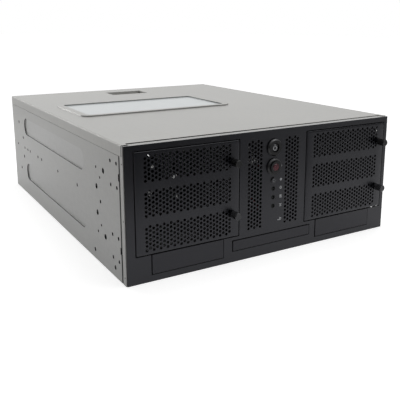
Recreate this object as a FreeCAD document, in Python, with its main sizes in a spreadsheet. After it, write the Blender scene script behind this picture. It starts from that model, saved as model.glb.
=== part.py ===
"""Four-unit rackmount server case, empty: folded steel tray, black front plate with two
perforated doors, lift-off cover, drive cages, fan wall and rear panel.

Frame: X to the right across the front, Y from the front to the rear, Z up.
The origin is the centre of the underside, midway between front plate and rear edge.
All lengths are millimetres.
"""
import FreeCAD, Part
import math
import os
import re
import Sketcher

Vector = FreeCAD.Vector
Constraint = Sketcher.Constraint

os.makedirs("parts", exist_ok=True)
doc = FreeCAD.newDocument("rack_case")

# ---------------------------------------------------------------- driving dimensions
SIZES = {
    # overall case
    "case_width": 430, "case_depth": 548, "case_height": 175,
    "steel_gauge": 1.2, "plate_gauge": 1.5, "cover_gauge": 1.0,
    "move_gap": 0.35,
    # front plate layout: the control column stands a little right of the middle
    "column_shift": 2.5, "column_width": 112,
    "door_width": 148, "door_height": 129.5, "door_bottom": 36.2,
    "door_depth": 10, "door_gauge": 1.0, "door_gap": 1.2, "door_round": 1.5,
    "door_proud": 0.8,
    # perforation
    "hole_pitch": 12.4, "hole_across": 8.8,
    "field_width": 122, "field_height": 34, "field_rise": 43.8, "field_base": 3.9,
    "strip_width": 21, "strip_height": 122.5, "strip_base": 39.6, "strip_reach": 30.5,
    # door hinge and thumbscrews
    "pin_radius": 1.25, "pin_fit": 0.06, "pin_reach": 3.4, "hinge_inset": 6.5,
    "hinge_back": 3.2, "ear_gauge": 1.5, "ear_width": 14, "ear_depth": 8, "ear_play": 0.45,
    "screw_inset": 9.5, "screw_low": 31.3, "screw_high": 101.3,
    "knob_radius": 5, "knob_length": 13.7, "shank_radius": 2, "shank_fit": 0.06,
    "shank_reach": 16, "clip_radius": 3.3, "clip_gauge": 0.8,
    "catch_clearance": 0.6, "catch_back": 11.6, "catch_gauge": 1.5, "catch_half": 6,
    "catch_stand": 0.8, "catch_margin": 9, "knob_bevel": 0.8, "knob_neck": 2,
    "flute_depth": 0.7, "flute_half": 1.2, "flute_inset": 1.5,
    # light grey frame behind the plate, and the seam to the tray
    "front_drop": 0.9, "frame_depth": 9.5, "frame_lip": 5, "frame_notch": 2.5, "seam": 2.2,
    "frame_dot": 1.0, "frame_dot_back": 3.5, "hook_height": 9, "hook_depth": 3.2, "hook_rise": 46.2,
    "tie_width": 8, "tie_length": 14, "tie_rise": 46,
    # cover
    "flange_height": 14.6, "corner_tab": 8, "tab_front": 4.5, "cover_front": 12.0,
    "cover_round": 1.8,
    "rim_left": 31, "rim_front": 222, "rim_width": 264, "rim_depth": 146.5,
    "rim_band": 10, "rim_height": 2, "rim_round": 16, "film_gauge": 0.3,
    "film_gap": 0.5, "grip_width": 73, "grip_length": 42, "grip_depth": 5.2,
    "grip_rear": 45, "grip_shift": -3.3,
    "cover_screw_x": 172, "cover_screw_drop": 7.5, "cover_knob_length": 8,
    "cover_shank": 8,
    # side pressings and side holes
    "press_front": 140, "press_length": 322, "press_height": 30, "press_rise": 42,
    "press_depth": 2, "press_round": 13,
    "ear_front": 21.5, "ear_back": 41, "ear_near": 32.2, "ear_far": 62.4,
    "guide_front": 66, "guide_middle": 79, "guide_back": 92, "rail_front": 477,
    "rail_back": 502.4, "guide_near": 17.9, "guide_far": 43.9, "foot_hole_rise": 13,
    "side_hole": 2.4, "side_slot": 3.6,
    "side_bolt": 2.8, "side_dot": 1.8,
    # bays under the doors
    "bay_width": 103, "bay_height": 25.2, "bay_base": 9.8, "bay_shift": -1.5,
    "bay_cover_depth": 8, "bay_wall": 1.6, "bay_clip": 8, "bay_proud": 0.6,
    "clip_reach": 16, "clip_stand": 0.2,
    "slim_width": 129.5, "slim_height": 13.6, "slim_base": 15.8,
    "bracket_length": 148, "bracket_foot": 4, "bracket_side": 1.4,
    # drive cages
    "cage_front": 14, "cage_length": 160, "cage_width": 150.4, "bay_pitch": 42.3,
    "cage_gauge": 1.0, "ledge_reach": 5, "ledge_length": 26,
    "cage_slot_front": 34, "cage_slot_back": 112, "cage_slot_rise": 9,
    "cage_slot_length": 14, "cage_slot_height": 3.6,
    # control column
    "power_height": 149.7, "reset_height": 123.2, "collar_radius": 11.6,
    "collar_reach": 3.4, "collar_bevel": 1.6, "barrel_radius": 8, "barrel_length": 24,
    "cap_radius": 6, "reset_radius": 5.2, "cap_fit": 0.08, "cap_bevel": 1,
    "cap_seat": 3, "bezel_radius": 8, "bezel_reach": 5.2, "power_reach": 1.8, "reset_reach": 5.8,
    "cap_length": 14, "nut_across": 20, "nut_height": 3.5,
    "small_height": 104.2, "small_radius": 4.2, "small_reach": 1.6, "small_fit": 0.1,
    "lamp_height": 92.5, "lamp_pitch": 12.25, "lamp_radius": 2.4, "lamp_sink": 1.2,
    "stem_radius": 1.8, "stem_start": 6, "stem_gap": 1.3,
    "board_back": 24, "board_gauge": 1.6, "post_inset": 5.5, "board_width": 34, "board_base": 44,
    "board_height": 70, "tact_side": 6, "tact_height": 4, "post_radius": 3,
    "header_width": 8, "header_height": 10, "header_depth": 6, "header_lift": 2,
    "lead_radius": 0.85, "plug_width": 13, "plug_height": 6, "plug_depth": 6,
    "plug_lift": 13.5, "plug_back": 9,
    # fans
    "wall_back": 186, "wall_height": 140, "front_fan": 120, "rear_fan": 80,
    "fan_depth": 25, "fan_wall": 3, "fan_fit": 1.5, "fan_spacing": 130,
    "fan_height": 72, "fan_round": 4, "hub_share": 0.34, "hub_back": 3, "strut_gauge": 2.4,
    "strut_width": 4, "blade_gauge": 1.6, "axle_length": 10,
    "axle_radius": 2.5, "axle_fit": 0.06, "fan_hole": 2.2,
    # rear panel
    "slot_pitch": 20.32, "slot_width": 13, "slot_tall": 106, "slot_base": 10,
    "slot_first": -62, "slot_cover_width": 18.4, "slot_cover_gauge": 0.9,
    "slot_tab": 11, "io_width": 158.75, "io_height": 44.45, "io_base": 7,
    "io_left": -48, "rear_fan_first": -8, "rear_fan_step": 82, "rear_fan_height": 108,
    "psu_width": 86, "psu_height": 150, "psu_base": 8, "psu_edge": 12,
    "psu_open_width": 64, "psu_open_height": 128, "psu_open_round": 6,
    "psu_length": 140,
    # inside
    "standoff_height": 6.35, "standoff_across": 5, "board_column": 154.94,
    "board_column_far": 72.39, "board_row": 157.48, "board_row_far": 124.46,
    "board_right": 111, "board_rear": 8, "bar_back": 200, "bar_height": 14,
    "bar_width": 12, "bar_base": 150,
}

sheet = doc.addObject("Spreadsheet::Sheet", "Sizes")
for row, (name, size) in enumerate(SIZES.items(), 1):
    sheet.set(f"A{row}", name)
    sheet.set(f"B{row}", str(size))
    sheet.setAlias(f"B{row}", name)
doc.recompute()

# ---------------------------------------------------------------- places used by many pieces
FRONT = "(-case_depth / 2)"
REAR = "(case_depth / 2)"
PLATE_BACK = f"({FRONT} + plate_gauge)"
DOOR_FACE = f"({FRONT} - door_proud)"
FRONT_TOP = "(case_height - front_drop)"
TRAY_FRONT = f"({FRONT} + plate_gauge + frame_depth + seam)"
LAP = "(case_height - flange_height)"
DOOR_LEFT = {
    "left": "(column_shift - column_width / 2 - door_width)",
    "right": "(column_shift + column_width / 2)",
}
DOOR_MIDDLE = {side: f"({x} + door_width / 2)" for side, x in DOOR_LEFT.items()}
BAY_MIDDLE = {side: f"({x} + bay_shift)" for side, x in DOOR_MIDDLE.items()}
SIDES = ("left", "right")

nodes = []


# ---------------------------------------------------------------- drafting helpers
def link(text):
    """Turn the sheet's words in an expression into references to its cells."""
    def cell(match):
        word = match.group(0)
        return f"Sizes.{word}" if word in SIZES else word
    return re.sub(r"[a-z][a-z_]*", cell, text)


def bind(item, **texts):
    for prop, text in texts.items():
        item.setExpression(prop, link(text))
    return item


def place(item, x="0", y="0", z="0"):
    for axis, text in (("x", x), ("y", y), ("z", z)):
        item.setExpression(f"Placement.Base.{axis}", link(text))
    return item


def node(item, label):
    item.Label = label
    nodes.append(item)
    return item


def box(name, corner, size):
    item = doc.addObject("Part::Box", name)
    bind(item, Length=size[0], Width=size[1], Height=size[2])
    return place(item, *corner)


TURNS = {"x": ((0, 1, 0), 90), "y": ((1, 0, 0), -90), "z": ((0, 0, 1), 0)}


def rod(name, start, radius, length, along="z"):
    item = doc.addObject("Part::Cylinder", name)
    bind(item, Radius=radius, Height=length)
    axis, angle = TURNS[along]
    item.Placement = FreeCAD.Placement(Vector(), FreeCAD.Rotation(Vector(*axis), angle))
    return place(item, *start)


def fuse(name, *pieces):
    item = doc.addObject("Part::MultiFuse", name)
    item.Shapes = list(pieces)
    item.Refine = True
    return item


def cut(name, base, *tools):
    item = doc.addObject("Part::Cut", name)
    item.Base = base
    item.Tool = tools[0] if len(tools) == 1 else fuse(f"{name}_tools", *tools)
    item.Refine = True
    return item


def body(label, x="0", y="0", z="0"):
    item = doc.addObject("PartDesign::Body", label)
    place(item, x, y, z)
    return node(item, label)


def datum(owner, role):
    return next(item for item in owner.Origin.OriginFeatures if item.Role == role)


def sketch(owner, plane, lift="0"):
    item = owner.newObject("Sketcher::SketchObject", f"{owner.Name}_sketch")
    item.AttachmentSupport = [(datum(owner, f"{plane}_Plane"), "")]
    item.MapMode = "FlatFace"
    item.setExpression("AttachmentOffset.Base.z", link(lift))
    return item


def measure(item, kind, geometry, point, text, start):
    """Hold one coordinate of a point to an expression, measured from the sketch origin."""
    index = item.addConstraint(Constraint(kind, -1, 1, geometry, point, start))
    item.setExpression(f"Constraints[{index}]", link(text))


def outline(item, points):
    """A closed polygon whose corners are held by expressions."""
    first = item.GeometryCount
    count = len(points)
    rough = [Vector(math.cos(2 * math.pi * i / count), math.sin(2 * math.pi * i / count))
             for i in range(count)]
    for i in range(count):
        item.addGeometry(Part.LineSegment(rough[i], rough[(i + 1) % count]))
    for i in range(count):
        item.addConstraint(Constraint("Coincident", first + i, 2, first + (i + 1) % count, 1))
    for i, (x, y) in enumerate(points):
        measure(item, "DistanceX", first + i, 1, x, rough[i].x)
        measure(item, "DistanceY", first + i, 1, y, rough[i].y)
    return item


def rectangle(item, x, y, width, height):
    right = f"({x} + {width})"
    top = f"({y} + {height})"
    return outline(item, [(x, y), (right, y), (right, top), (x, top)])


def rounded(item, x, y, width, height, corner):
    """A rectangle with four equal tangent corner arcs."""
    first = item.GeometryCount
    wide, tall, bend = 40, 20, 4

    def line(a, b):
        return Part.LineSegment(Vector(*a), Vector(*b))

    def arc(centre, start):
        circle = Part.Circle(Vector(*centre), Vector(0, 0, 1), bend)
        return Part.ArcOfCircle(circle, math.radians(start), math.radians(start + 90))

    item.addGeometry([
        line((bend, 0), (wide - bend, 0)), arc((wide - bend, bend), 270),
        line((wide, bend), (wide, tall - bend)), arc((wide - bend, tall - bend), 0),
        line((wide - bend, tall), (bend, tall)), arc((bend, tall - bend), 90),
        line((0, tall - bend), (0, bend)), arc((bend, bend), 180),
    ])
    for i in range(8):
        item.addConstraint(Constraint("Tangent", first + i, 2, first + (i + 1) % 8, 1))
    for i in (0, 4):
        item.addConstraint(Constraint("Horizontal", first + i))
    for i in (2, 6):
        item.addConstraint(Constraint("Vertical", first + i))
    for i in (3, 5, 7):
        item.addConstraint(Constraint("Equal", first + 1, first + i))
    measure(item, "DistanceX", first + 6, 1, x, 0)
    measure(item, "DistanceY", first, 1, y, 0)
    measure(item, "DistanceX", first + 2, 1, f"{x} + {width}", wide)
    measure(item, "DistanceY", first + 4, 1, f"{y} + {height}", tall)
    index = item.addConstraint(Constraint("Radius", first + 1, bend))
    item.setExpression(f"Constraints[{index}]", link(corner))
    return item


def circle(item, x, y, radius):
    index = item.addGeometry(Part.Circle(Vector(1, 1), Vector(0, 0, 1), 1))
    measure(item, "DistanceX", index, 3, x, 1)
    measure(item, "DistanceY", index, 3, y, 1)
    ring = item.addConstraint(Constraint("Radius", index, 1))
    item.setExpression(f"Constraints[{ring}]", link(radius))
    return item


def hexagon(item, x, y, across):
    """A regular hexagon, corners left and right, sized across its corners."""
    rise = f"{across} / 4 * sqrt(3)"
    return outline(item, [
        (f"{x} - {across} / 2", y), (f"{x} - {across} / 4", f"{y} - {rise}"),
        (f"{x} + {across} / 4", f"{y} - {rise}"), (f"{x} + {across} / 2", y),
        (f"{x} + {across} / 4", f"{y} + {rise}"), (f"{x} - {across} / 4", f"{y} + {rise}"),
    ])


def feature(owner, kind, profile, length=None, flip=False, both=False, taper=None):
    item = owner.newObject(f"PartDesign::{kind}", f"{owner.Name}_{kind.lower()}")
    item.Profile = profile
    item.Reversed = flip
    item.Midplane = both
    if length is None:
        item.Type = "ThroughAll"
    else:
        bind(item, Length=length)
    if taper is not None:
        item.TaperAngle = taper
    owner.Tip = item
    return item


def pad(owner, profile, length, flip=False, both=False, taper=None):
    return feature(owner, "Pad", profile, length, flip, both, taper)


def pocket(owner, profile, length=None, flip=False, both=False, taper=None):
    return feature(owner, "Pocket", profile, length, flip, both, taper)


def revolve(owner, profile, axis):
    item = owner.newObject("PartDesign::Revolution", f"{owner.Name}_turn")
    item.Profile = profile
    item.ReferenceAxis = (profile, [axis])
    item.Angle = 360
    owner.Tip = item
    return item


def row_pattern(owner, source, axis, spacing, count, axis_up=None, spacing_up=None,
                count_up=None):
    item = owner.newObject("PartDesign::LinearPattern", f"{owner.Name}_rows")
    item.Originals = [source]
    item.Direction = (datum(owner, f"{axis}_Axis"), [""])
    item.Mode = "Spacing"
    bind(item, Offset=spacing, Occurrences=count)
    if axis_up:
        item.Direction2 = (datum(owner, f"{axis_up}_Axis"), [""])
        item.Mode2 = "Spacing"
        bind(item, Offset2=spacing_up, Occurrences2=count_up)
    owner.Tip = item
    return item


def ring_pattern(owner, source, axis, count):
    item = owner.newObject("PartDesign::PolarPattern", f"{owner.Name}_ring")
    item.Originals = [source]
    item.Axis = (datum(owner, f"{axis}_Axis"), [""])
    item.Angle = 360
    item.Occurrences = count
    owner.Tip = item
    return item


def mirror(owner, sources, plane):
    item = owner.newObject("PartDesign::Mirrored", f"{owner.Name}_mirror")
    item.Originals = sources
    item.MirrorPlane = (datum(owner, f"{plane}_Plane"), [""])
    owner.Tip = item
    return item


def stagger(owner, left, base, width, height, rise=None, fields="1"):
    """Hexagonal holes in staggered columns over a field, repeated upwards in fields."""
    column = "(hole_pitch * sqrt(3) / 2)"
    columns = f"(floor(({width} - hole_across) / {column} + 0.001) + 1)"
    rows = f"(floor(({height} - hole_across) / hole_pitch + 0.001) + 1)"
    start_x = f"({left} + {width} / 2 - ({columns} - 1) * {column} / 2)"
    start_z = f"({base} + {height} / 2 - ({rows} - 1) * hole_pitch / 2)"
    for shift in (0, 1):
        x = f"({start_x} + {shift} * {column})"
        z = f"({start_z} + {shift} * hole_pitch / 2)"
        drawing = hexagon(sketch(owner, "XZ"), x, z, "hole_across")
        hole = pocket(owner, drawing, both=True)
        grid = owner.newObject("PartDesign::MultiTransform", f"{owner.Name}_grid")
        grid.Originals = [hole]
        steps = [("X", f"2 * {column}", f"floor(({columns} + 1 - {shift}) / 2)"),
                 ("Z", "hole_pitch", f"{rows} - {shift}")]
        if rise:
            steps.append(("Z", rise, fields))
        moves = []
        for axis, spacing, count in steps:
            move = owner.newObject("PartDesign::LinearPattern", f"{owner.Name}_step")
            move.Direction = (datum(owner, f"{axis}_Axis"), [""])
            move.Mode = "Spacing"
            bind(move, Offset=spacing, Occurrences=count)
            moves.append(move)
        grid.Transformations = moves
        owner.Tip = grid


# ---------------------------------------------------------------- sheet metal shell
# distances behind the front plate of the single holes in each side wall
WALL_ROW = (79.5, 172, 264.6, 356.4, 379.6, 430.9, 447.6, 468.8, 518.6)
FOOT_ROW = (34.9, 106.7)


def chassis_tray():
    """Floor and side walls from one sheet; the upper walls step in under the cover."""
    tray = body("chassis_tray", y=TRAY_FRONT)
    half = "case_width / 2"
    step = "(cover_gauge + move_gap)"
    top = "(case_height - cover_gauge - move_gap)"
    wall = [
        (half, "0"), (half, LAP), (f"{half} - {step}", LAP), (f"{half} - {step}", top),
        (f"{half} - {step} - steel_gauge", top),
        (f"{half} - {step} - steel_gauge", f"{LAP} - steel_gauge"),
        (f"{half} - steel_gauge", f"{LAP} - steel_gauge"), (f"{half} - steel_gauge", "steel_gauge"),
    ]
    other = [(f"-({x})", z) for x, z in reversed(wall)]
    profile = outline(sketch(tray, "XZ"), wall + other)
    pad(tray, profile, f"{REAR} - {TRAY_FRONT}", flip=True)

    local = "(plate_gauge + frame_depth + seam)"
    middle = "(case_height / 2)"

    def pressing(grow):
        item = sketch(tray, "YZ", "-case_width / 2")
        for low in ("-press_rise - press_height / 2", "press_rise - press_height / 2"):
            rounded(item, f"press_front - {local} - {grow}", f"{middle} + {low} - {grow}",
                    f"press_length + 2 * {grow}", f"press_height + 2 * {grow}",
                    f"press_round + {grow}")
        return item

    skin = pad(tray, pressing("steel_gauge"), "press_depth + steel_gauge", taper=-20)
    hollow = pocket(tray, pressing("0"), "press_depth", flip=True, taper=-20)
    mirror(tray, [skin, hollow], "YZ")

    holes = sketch(tray, "YZ")
    corners = [(y, rise) for y in ("ear_front", "ear_back") for rise in ("ear_near", "ear_far")]
    groups = [
        ("side_hole", corners),
        ("side_slot", [("guide_front", "guide_far"), ("guide_back", "guide_near")]),
        ("side_bolt", [("rail_front", "guide_near"), ("rail_back", "guide_far")]),
        ("side_dot", [("guide_back", "guide_far"), ("guide_middle", "ear_near")]),
    ]
    for radius, spots in groups:
        for y, rise in spots:
            for sign in ("+", "-"):
                circle(holes, f"{y} - {local}", f"{middle} {sign} {rise}", radius)
    for y in WALL_ROW:
        circle(holes, f"{y} - {local}", middle, "side_hole")
    for y in FOOT_ROW:
        circle(holes, f"{y} - {local}", "foot_hole_rise", "side_bolt")
    pocket(tray, holes, both=True)
    hooks = sketch(tray, "YZ")
    for sign in ("+", "-"):
        rectangle(hooks, "-1", f"{middle} {sign} hook_rise - hook_height / 2",
                  "hook_depth + 1", "hook_height")
    pocket(tray, hooks, both=True)
    rear = f"({REAR} - {TRAY_FRONT})"
    relief = rectangle(sketch(tray, "XZ", f"-{rear} + cover_gauge + move_gap"),
                       "-case_width / 2 - 1", LAP, "case_width + 2", "flange_height")
    pocket(tray, relief)


# power supply screws, from the lower left corner of the supply seen from the front
PSU_SCREWS = ((16, 6), (80, 6), (80, 144), (6, 120))


def rear_panel():
    """Rear wall with power supply, connector, slot and fan openings."""
    face = f"({REAR} - cover_gauge - move_gap)"
    panel = body("rear_panel", y=face)
    half = "(case_width / 2 - cover_gauge - move_gap - steel_gauge)"
    top = "(case_height - cover_gauge - move_gap)"
    plate = rectangle(sketch(panel, "XZ"), f"-{half}", "steel_gauge", f"2 * {half}",
                      f"{top} - steel_gauge")
    pad(panel, plate, "steel_gauge")
    shelf = rectangle(sketch(panel, "XZ"), "slot_first - 6.5 * slot_pitch",
                      "slot_base + slot_tall + 7", "7 * slot_pitch", "steel_gauge")
    pad(panel, shelf, "slot_tab + steel_gauge")

    windows = sketch(panel, "XZ")
    rectangle(windows, "io_left", "io_base", "io_width", "io_height")
    rounded(windows, "case_width / 2 - psu_edge - psu_width / 2 - psu_open_width / 2",
            "psu_base + psu_height / 2 - psu_open_height / 2", "psu_open_width",
            "psu_open_height", "psu_open_round")
    for x, z in PSU_SCREWS:
        circle(windows, f"case_width / 2 - psu_edge - psu_width + {x}", f"psu_base + {z}",
               "fan_hole")
    for sign in ("-", ""):
        circle(windows, f"{sign}cover_screw_x", "case_height - cover_screw_drop",
               "shank_radius + shank_fit")
    for place_x in ("rear_fan_first", "rear_fan_first + rear_fan_step"):
        circle(windows, place_x, "rear_fan_height", "rear_fan / 2 - fan_wall / 2")
    pocket(panel, windows, both=True)
    slot = rectangle(sketch(panel, "XZ"), "slot_first - 6 * slot_pitch - slot_width / 2",
                     "slot_base", "slot_width", "slot_tall")
    last = pocket(panel, slot, both=True)
    row_pattern(panel, last, "X", "slot_pitch", "7")


def slot_covers():
    """Seven blanking brackets, each with its foot screwed to the panel's shelf."""
    inner = f"({REAR} - cover_gauge - move_gap - steel_gauge)"
    ledge = "(slot_base + slot_tall + 7 + steel_gauge)"
    pieces = []
    for index in range(7):
        x = f"slot_first - {index} * slot_pitch - slot_cover_width / 2"
        blade = box("slot_blade", (x, f"{inner} - slot_cover_gauge", "slot_base - 3"),
                    ("slot_cover_width", "slot_cover_gauge", f"{ledge} - 8.5 - slot_base"))
        pieces.append(blade)
        foot = box("slot_foot", (x, f"{inner} - slot_tab", ledge),
                   ("slot_cover_width", "slot_tab", "slot_cover_gauge"))
        pieces.append(foot)
    group = doc.addObject("Part::Compound", "slot_covers")
    group.Links = pieces
    node(group, "slot_covers")


def front_frame():
    """Light flange behind the black plate, notched at its upper corners for the cover."""
    frame = body("front_frame", y=PLATE_BACK)
    ring = sketch(frame, "XZ")
    rectangle(ring, "-case_width / 2", "0", "case_width", FRONT_TOP)
    rectangle(ring, "-case_width / 2 + steel_gauge", "steel_gauge",
              "case_width - 2 * steel_gauge", f"{FRONT_TOP} - 2 * steel_gauge")
    pad(frame, ring, "frame_depth", flip=True)
    lip = sketch(frame, "XZ")
    rectangle(lip, "-case_width / 2", "0", "case_width", FRONT_TOP)
    rectangle(lip, "-case_width / 2 + frame_lip", "frame_lip",
              "case_width - 2 * frame_lip", f"{FRONT_TOP} - 2 * frame_lip")
    pad(frame, lip, "steel_gauge", flip=True)
    corners = sketch(frame, "XZ", "-frame_notch")
    tall = "flange_height + move_gap"
    wide = "corner_tab + seam / 2"
    rectangle(corners, "-case_width / 2 - 1", f"case_height - {tall}", f"{wide} + 1",
              f"{tall} + 1")
    rectangle(corners, f"case_width / 2 - ({wide})", f"case_height - {tall}", f"{wide} + 1",
              f"{tall} + 1")
    pocket(frame, corners, "frame_depth")
    dots = sketch(frame, "YZ")
    for height in ("0.06 * case_height", "0.47 * case_height", "0.87 * case_height"):
        circle(dots, "frame_dot_back", height, "frame_dot")
    pocket(frame, dots, both=True)


def frame_ties():
    """Tongues inside each side wall that hook the front frame to the tray."""
    for side, sign in (("left", -1), ("right", 1)):
        x = "-case_width / 2 + steel_gauge" if sign < 0 else "case_width / 2 - 2 * steel_gauge"
        tongues = []
        for lift in ("-tie_rise", "tie_rise"):
            start = (x, f"{TRAY_FRONT} - tie_length / 2",
                     f"case_height / 2 + {lift} - tie_width / 2")
            tongues.append(box("tongue", start, ("steel_gauge", "tie_length", "tie_width")))
        strap = box("strap", (x, f"{TRAY_FRONT} + tie_length / 4",
                              "case_height / 2 - tie_rise"),
                    ("steel_gauge", "tie_length / 4", "2 * tie_rise"))
        node(fuse(f"{side}_frame_tie", *tongues, strap), f"{side}_frame_tie")


def front_plate():
    plate = body("front_plate", y=FRONT)
    sheet_shape = rectangle(sketch(plate, "XZ"), "-case_width / 2", "0", "case_width",
                            FRONT_TOP)
    pad(plate, sheet_shape, "plate_gauge", flip=True)
    for side in SIDES:
        door = rounded(sketch(plate, "XZ"), f"{DOOR_LEFT[side]} - door_gap",
                       "door_bottom - door_gap", "door_width + 2 * door_gap",
                       "door_height + 2 * door_gap", "door_round")
        pocket(plate, door, both=True)
    bays = sketch(plate, "XZ")
    for side in SIDES:
        rectangle(bays, f"{BAY_MIDDLE[side]} - bay_width / 2 - door_gap",
                  "bay_base - door_gap", "bay_width + 2 * door_gap",
                  "door_bottom - bay_base + door_gap")
    rectangle(bays, "column_shift - slim_width / 2 - door_gap", "slim_base - door_gap",
              "slim_width + 2 * door_gap", "slim_height + 2 * door_gap")
    pocket(plate, bays, both=True)
    round_holes = sketch(plate, "XZ")
    for height in ("power_height", "reset_height"):
        circle(round_holes, "column_shift", height, "barrel_radius")
    circle(round_holes, "column_shift", "small_height", "small_radius + small_fit")
    for index in range(3):
        circle(round_holes, "column_shift", f"lamp_height - {index} * lamp_pitch",
               "lamp_radius")
    pocket(plate, round_holes, both=True)
    for sign in ("-", "+"):
        stagger(plate, f"(column_shift {sign} strip_reach - strip_width / 2)", "strip_base",
                "strip_width", "strip_height")


def front_door(side):
    """Folded pan with three perforated fields, hung on stub pins at its left edge."""
    door = body(f"{side}_door", x=DOOR_LEFT[side], y=DOOR_FACE, z="door_bottom")
    skin = rounded(sketch(door, "XZ"), "0", "0", "door_width", "door_height", "door_round")
    pad(door, skin, "door_depth", flip=True)
    hollow = rectangle(sketch(door, "XZ", "-door_gauge"), "door_gauge", "door_gauge",
                       "door_width - 2 * door_gauge", "door_height - 2 * door_gauge")
    pocket(door, hollow, "door_depth")
    stagger(door, "((door_width - field_width) / 2)", "field_base", "field_width",
            "field_height", "field_rise", "3")
    screws = sketch(door, "XZ")
    for height in ("screw_low", "screw_high"):
        circle(screws, "door_width - screw_inset", height, "shank_radius + shank_fit")
    pocket(door, screws, both=True)
    for start, flip in (("door_gauge", True), ("door_height - door_gauge", False)):
        pin = circle(sketch(door, "XY", start), "hinge_inset", "hinge_back + door_proud",
                     "pin_radius")
        pad(door, pin, "door_gauge + pin_reach", flip=flip)


def hinge_rail(side):
    """Strip behind the plate with two ears that carry the door's stub pins."""
    axis_x = f"({DOOR_LEFT[side]} + hinge_inset)"
    left = f"({DOOR_LEFT[side]} - door_gap - ear_width / 2)"
    low = "(door_bottom - move_gap - ear_play - ear_gauge)"
    high = "(door_bottom + door_height + move_gap + ear_play)"
    strip = box("hinge_strip", (left, PLATE_BACK, low),
                ("ear_width / 2 - 0.5", "ear_gauge", f"{high} + ear_gauge - {low}"))
    ears = []
    for z in (low, high):
        ears.append(box("hinge_ear", (left, PLATE_BACK, z),
                        (f"{axis_x} + ear_width / 2 - {left}", "ear_depth", "ear_gauge")))
    bore = rod("hinge_bore", (axis_x, f"{FRONT} + hinge_back", f"{low} - 1"),
               "pin_radius + pin_fit", f"{high} + ear_gauge + 2 - {low}")
    rail = cut(f"{side}_hinge_rail", fuse(f"{side}_hinge_blank", strip, *ears), bore)
    node(rail, f"{side}_hinge_rail")


def catch_rail(side):
    """Bracket beside the door's free edge; its two ears take the thumbscrew tips."""
    edge = f"({DOOR_LEFT[side]} + door_width + door_gap + catch_stand)"
    axis_x = f"({DOOR_LEFT[side]} + door_width - screw_inset)"
    low = "(door_bottom + screw_low - catch_margin)"
    flange = box("catch_flange", (edge, PLATE_BACK, low),
                 ("catch_gauge", "catch_back + catch_gauge - plate_gauge",
                  "screw_high - screw_low + 2 * catch_margin"))
    ears = []
    bores = []
    for height in ("screw_low", "screw_high"):
        ears.append(box("catch_ear", (f"{axis_x} - catch_half", f"{FRONT} + catch_back",
                                      f"door_bottom + {height} - catch_half"),
                        (f"{edge} + catch_gauge - {axis_x} + catch_half", "catch_gauge",
                         "2 * catch_half")))
        bores.append(rod("catch_bore", (axis_x, FRONT, f"door_bottom + {height}"),
                         "shank_radius + catch_clearance", "4 * catch_back", "y"))
    rail = cut(f"{side}_catch_rail", fuse(f"{side}_catch_blank", flange, *ears), *bores)
    node(rail, f"{side}_catch_rail")


def thumbscrew(label, x, y, z, knob, shank, clip_start=None, facing="front"):
    """Fluted knob with a plain shank; door screws also carry a retaining ring."""
    screw = body(label, x=x, y=y, z=z)
    sign = "" if facing == "front" else "-"
    half = sketch(screw, "XY")
    edge = [("0", f"-({knob})"), ("knob_radius - knob_bevel", f"-({knob})"),
            ("knob_radius", f"-({knob}) + knob_bevel"), ("knob_radius", "-move_gap - knob_neck"),
            ("knob_radius - knob_bevel", "-move_gap - knob_neck"),
            ("knob_radius - knob_bevel", "-move_gap"),
            ("shank_radius", "-move_gap")]
    if clip_start:
        edge += [("shank_radius", clip_start), ("clip_radius", clip_start),
                 ("clip_radius", f"{clip_start} + clip_gauge"),
                 ("shank_radius", f"{clip_start} + clip_gauge")]
    edge += [("shank_radius", f"{shank} - knob_bevel"), ("shank_radius - knob_bevel", shank),
             ("0", shank)]
    if sign:
        edge = [(x_text, f"-({y_text})") for x_text, y_text in edge]
    revolve(screw, outline(half, edge), "V_Axis")
    start = f"{knob} - flute_inset" if facing == "front" else f"-({knob}) + flute_inset"
    flute = outline(sketch(screw, "XZ", start), [
        ("knob_radius - flute_depth", "0"), ("knob_radius + 1", "flute_half"),
        ("knob_radius + 1", "-flute_half")])
    groove = pocket(screw, flute, f"{knob} - 2 * flute_inset - move_gap - knob_neck",
                    flip=facing != "front")
    ring_pattern(screw, groove, "Y", 14)


def bay_cover(label, middle, base, width, height):
    """Moulded blank: a shallow box whose face stands a little proud of the plate."""
    cover = body(label, x=f"{middle} - {width} / 2", y=f"{FRONT} - bay_proud", z=base)
    face = rectangle(sketch(cover, "XZ"), "0", "0", width, height)
    pad(cover, face, "bay_cover_depth", flip=True)
    inside = rectangle(sketch(cover, "XZ", "-bay_wall"), "bay_wall", "bay_wall",
                       f"{width} - 2 * bay_wall", f"{height} - 2 * bay_wall")
    pocket(cover, inside, "bay_cover_depth")
    for start in ("-clip_stand", f"{width} + clip_stand - bay_wall"):
        clip = rectangle(sketch(cover, "XZ", "-bay_cover_depth / 2"), start,
                         f"{height} / 2 - bay_clip / 2", "bay_wall", "bay_clip")
        pad(cover, clip, "clip_reach", flip=True)


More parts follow.
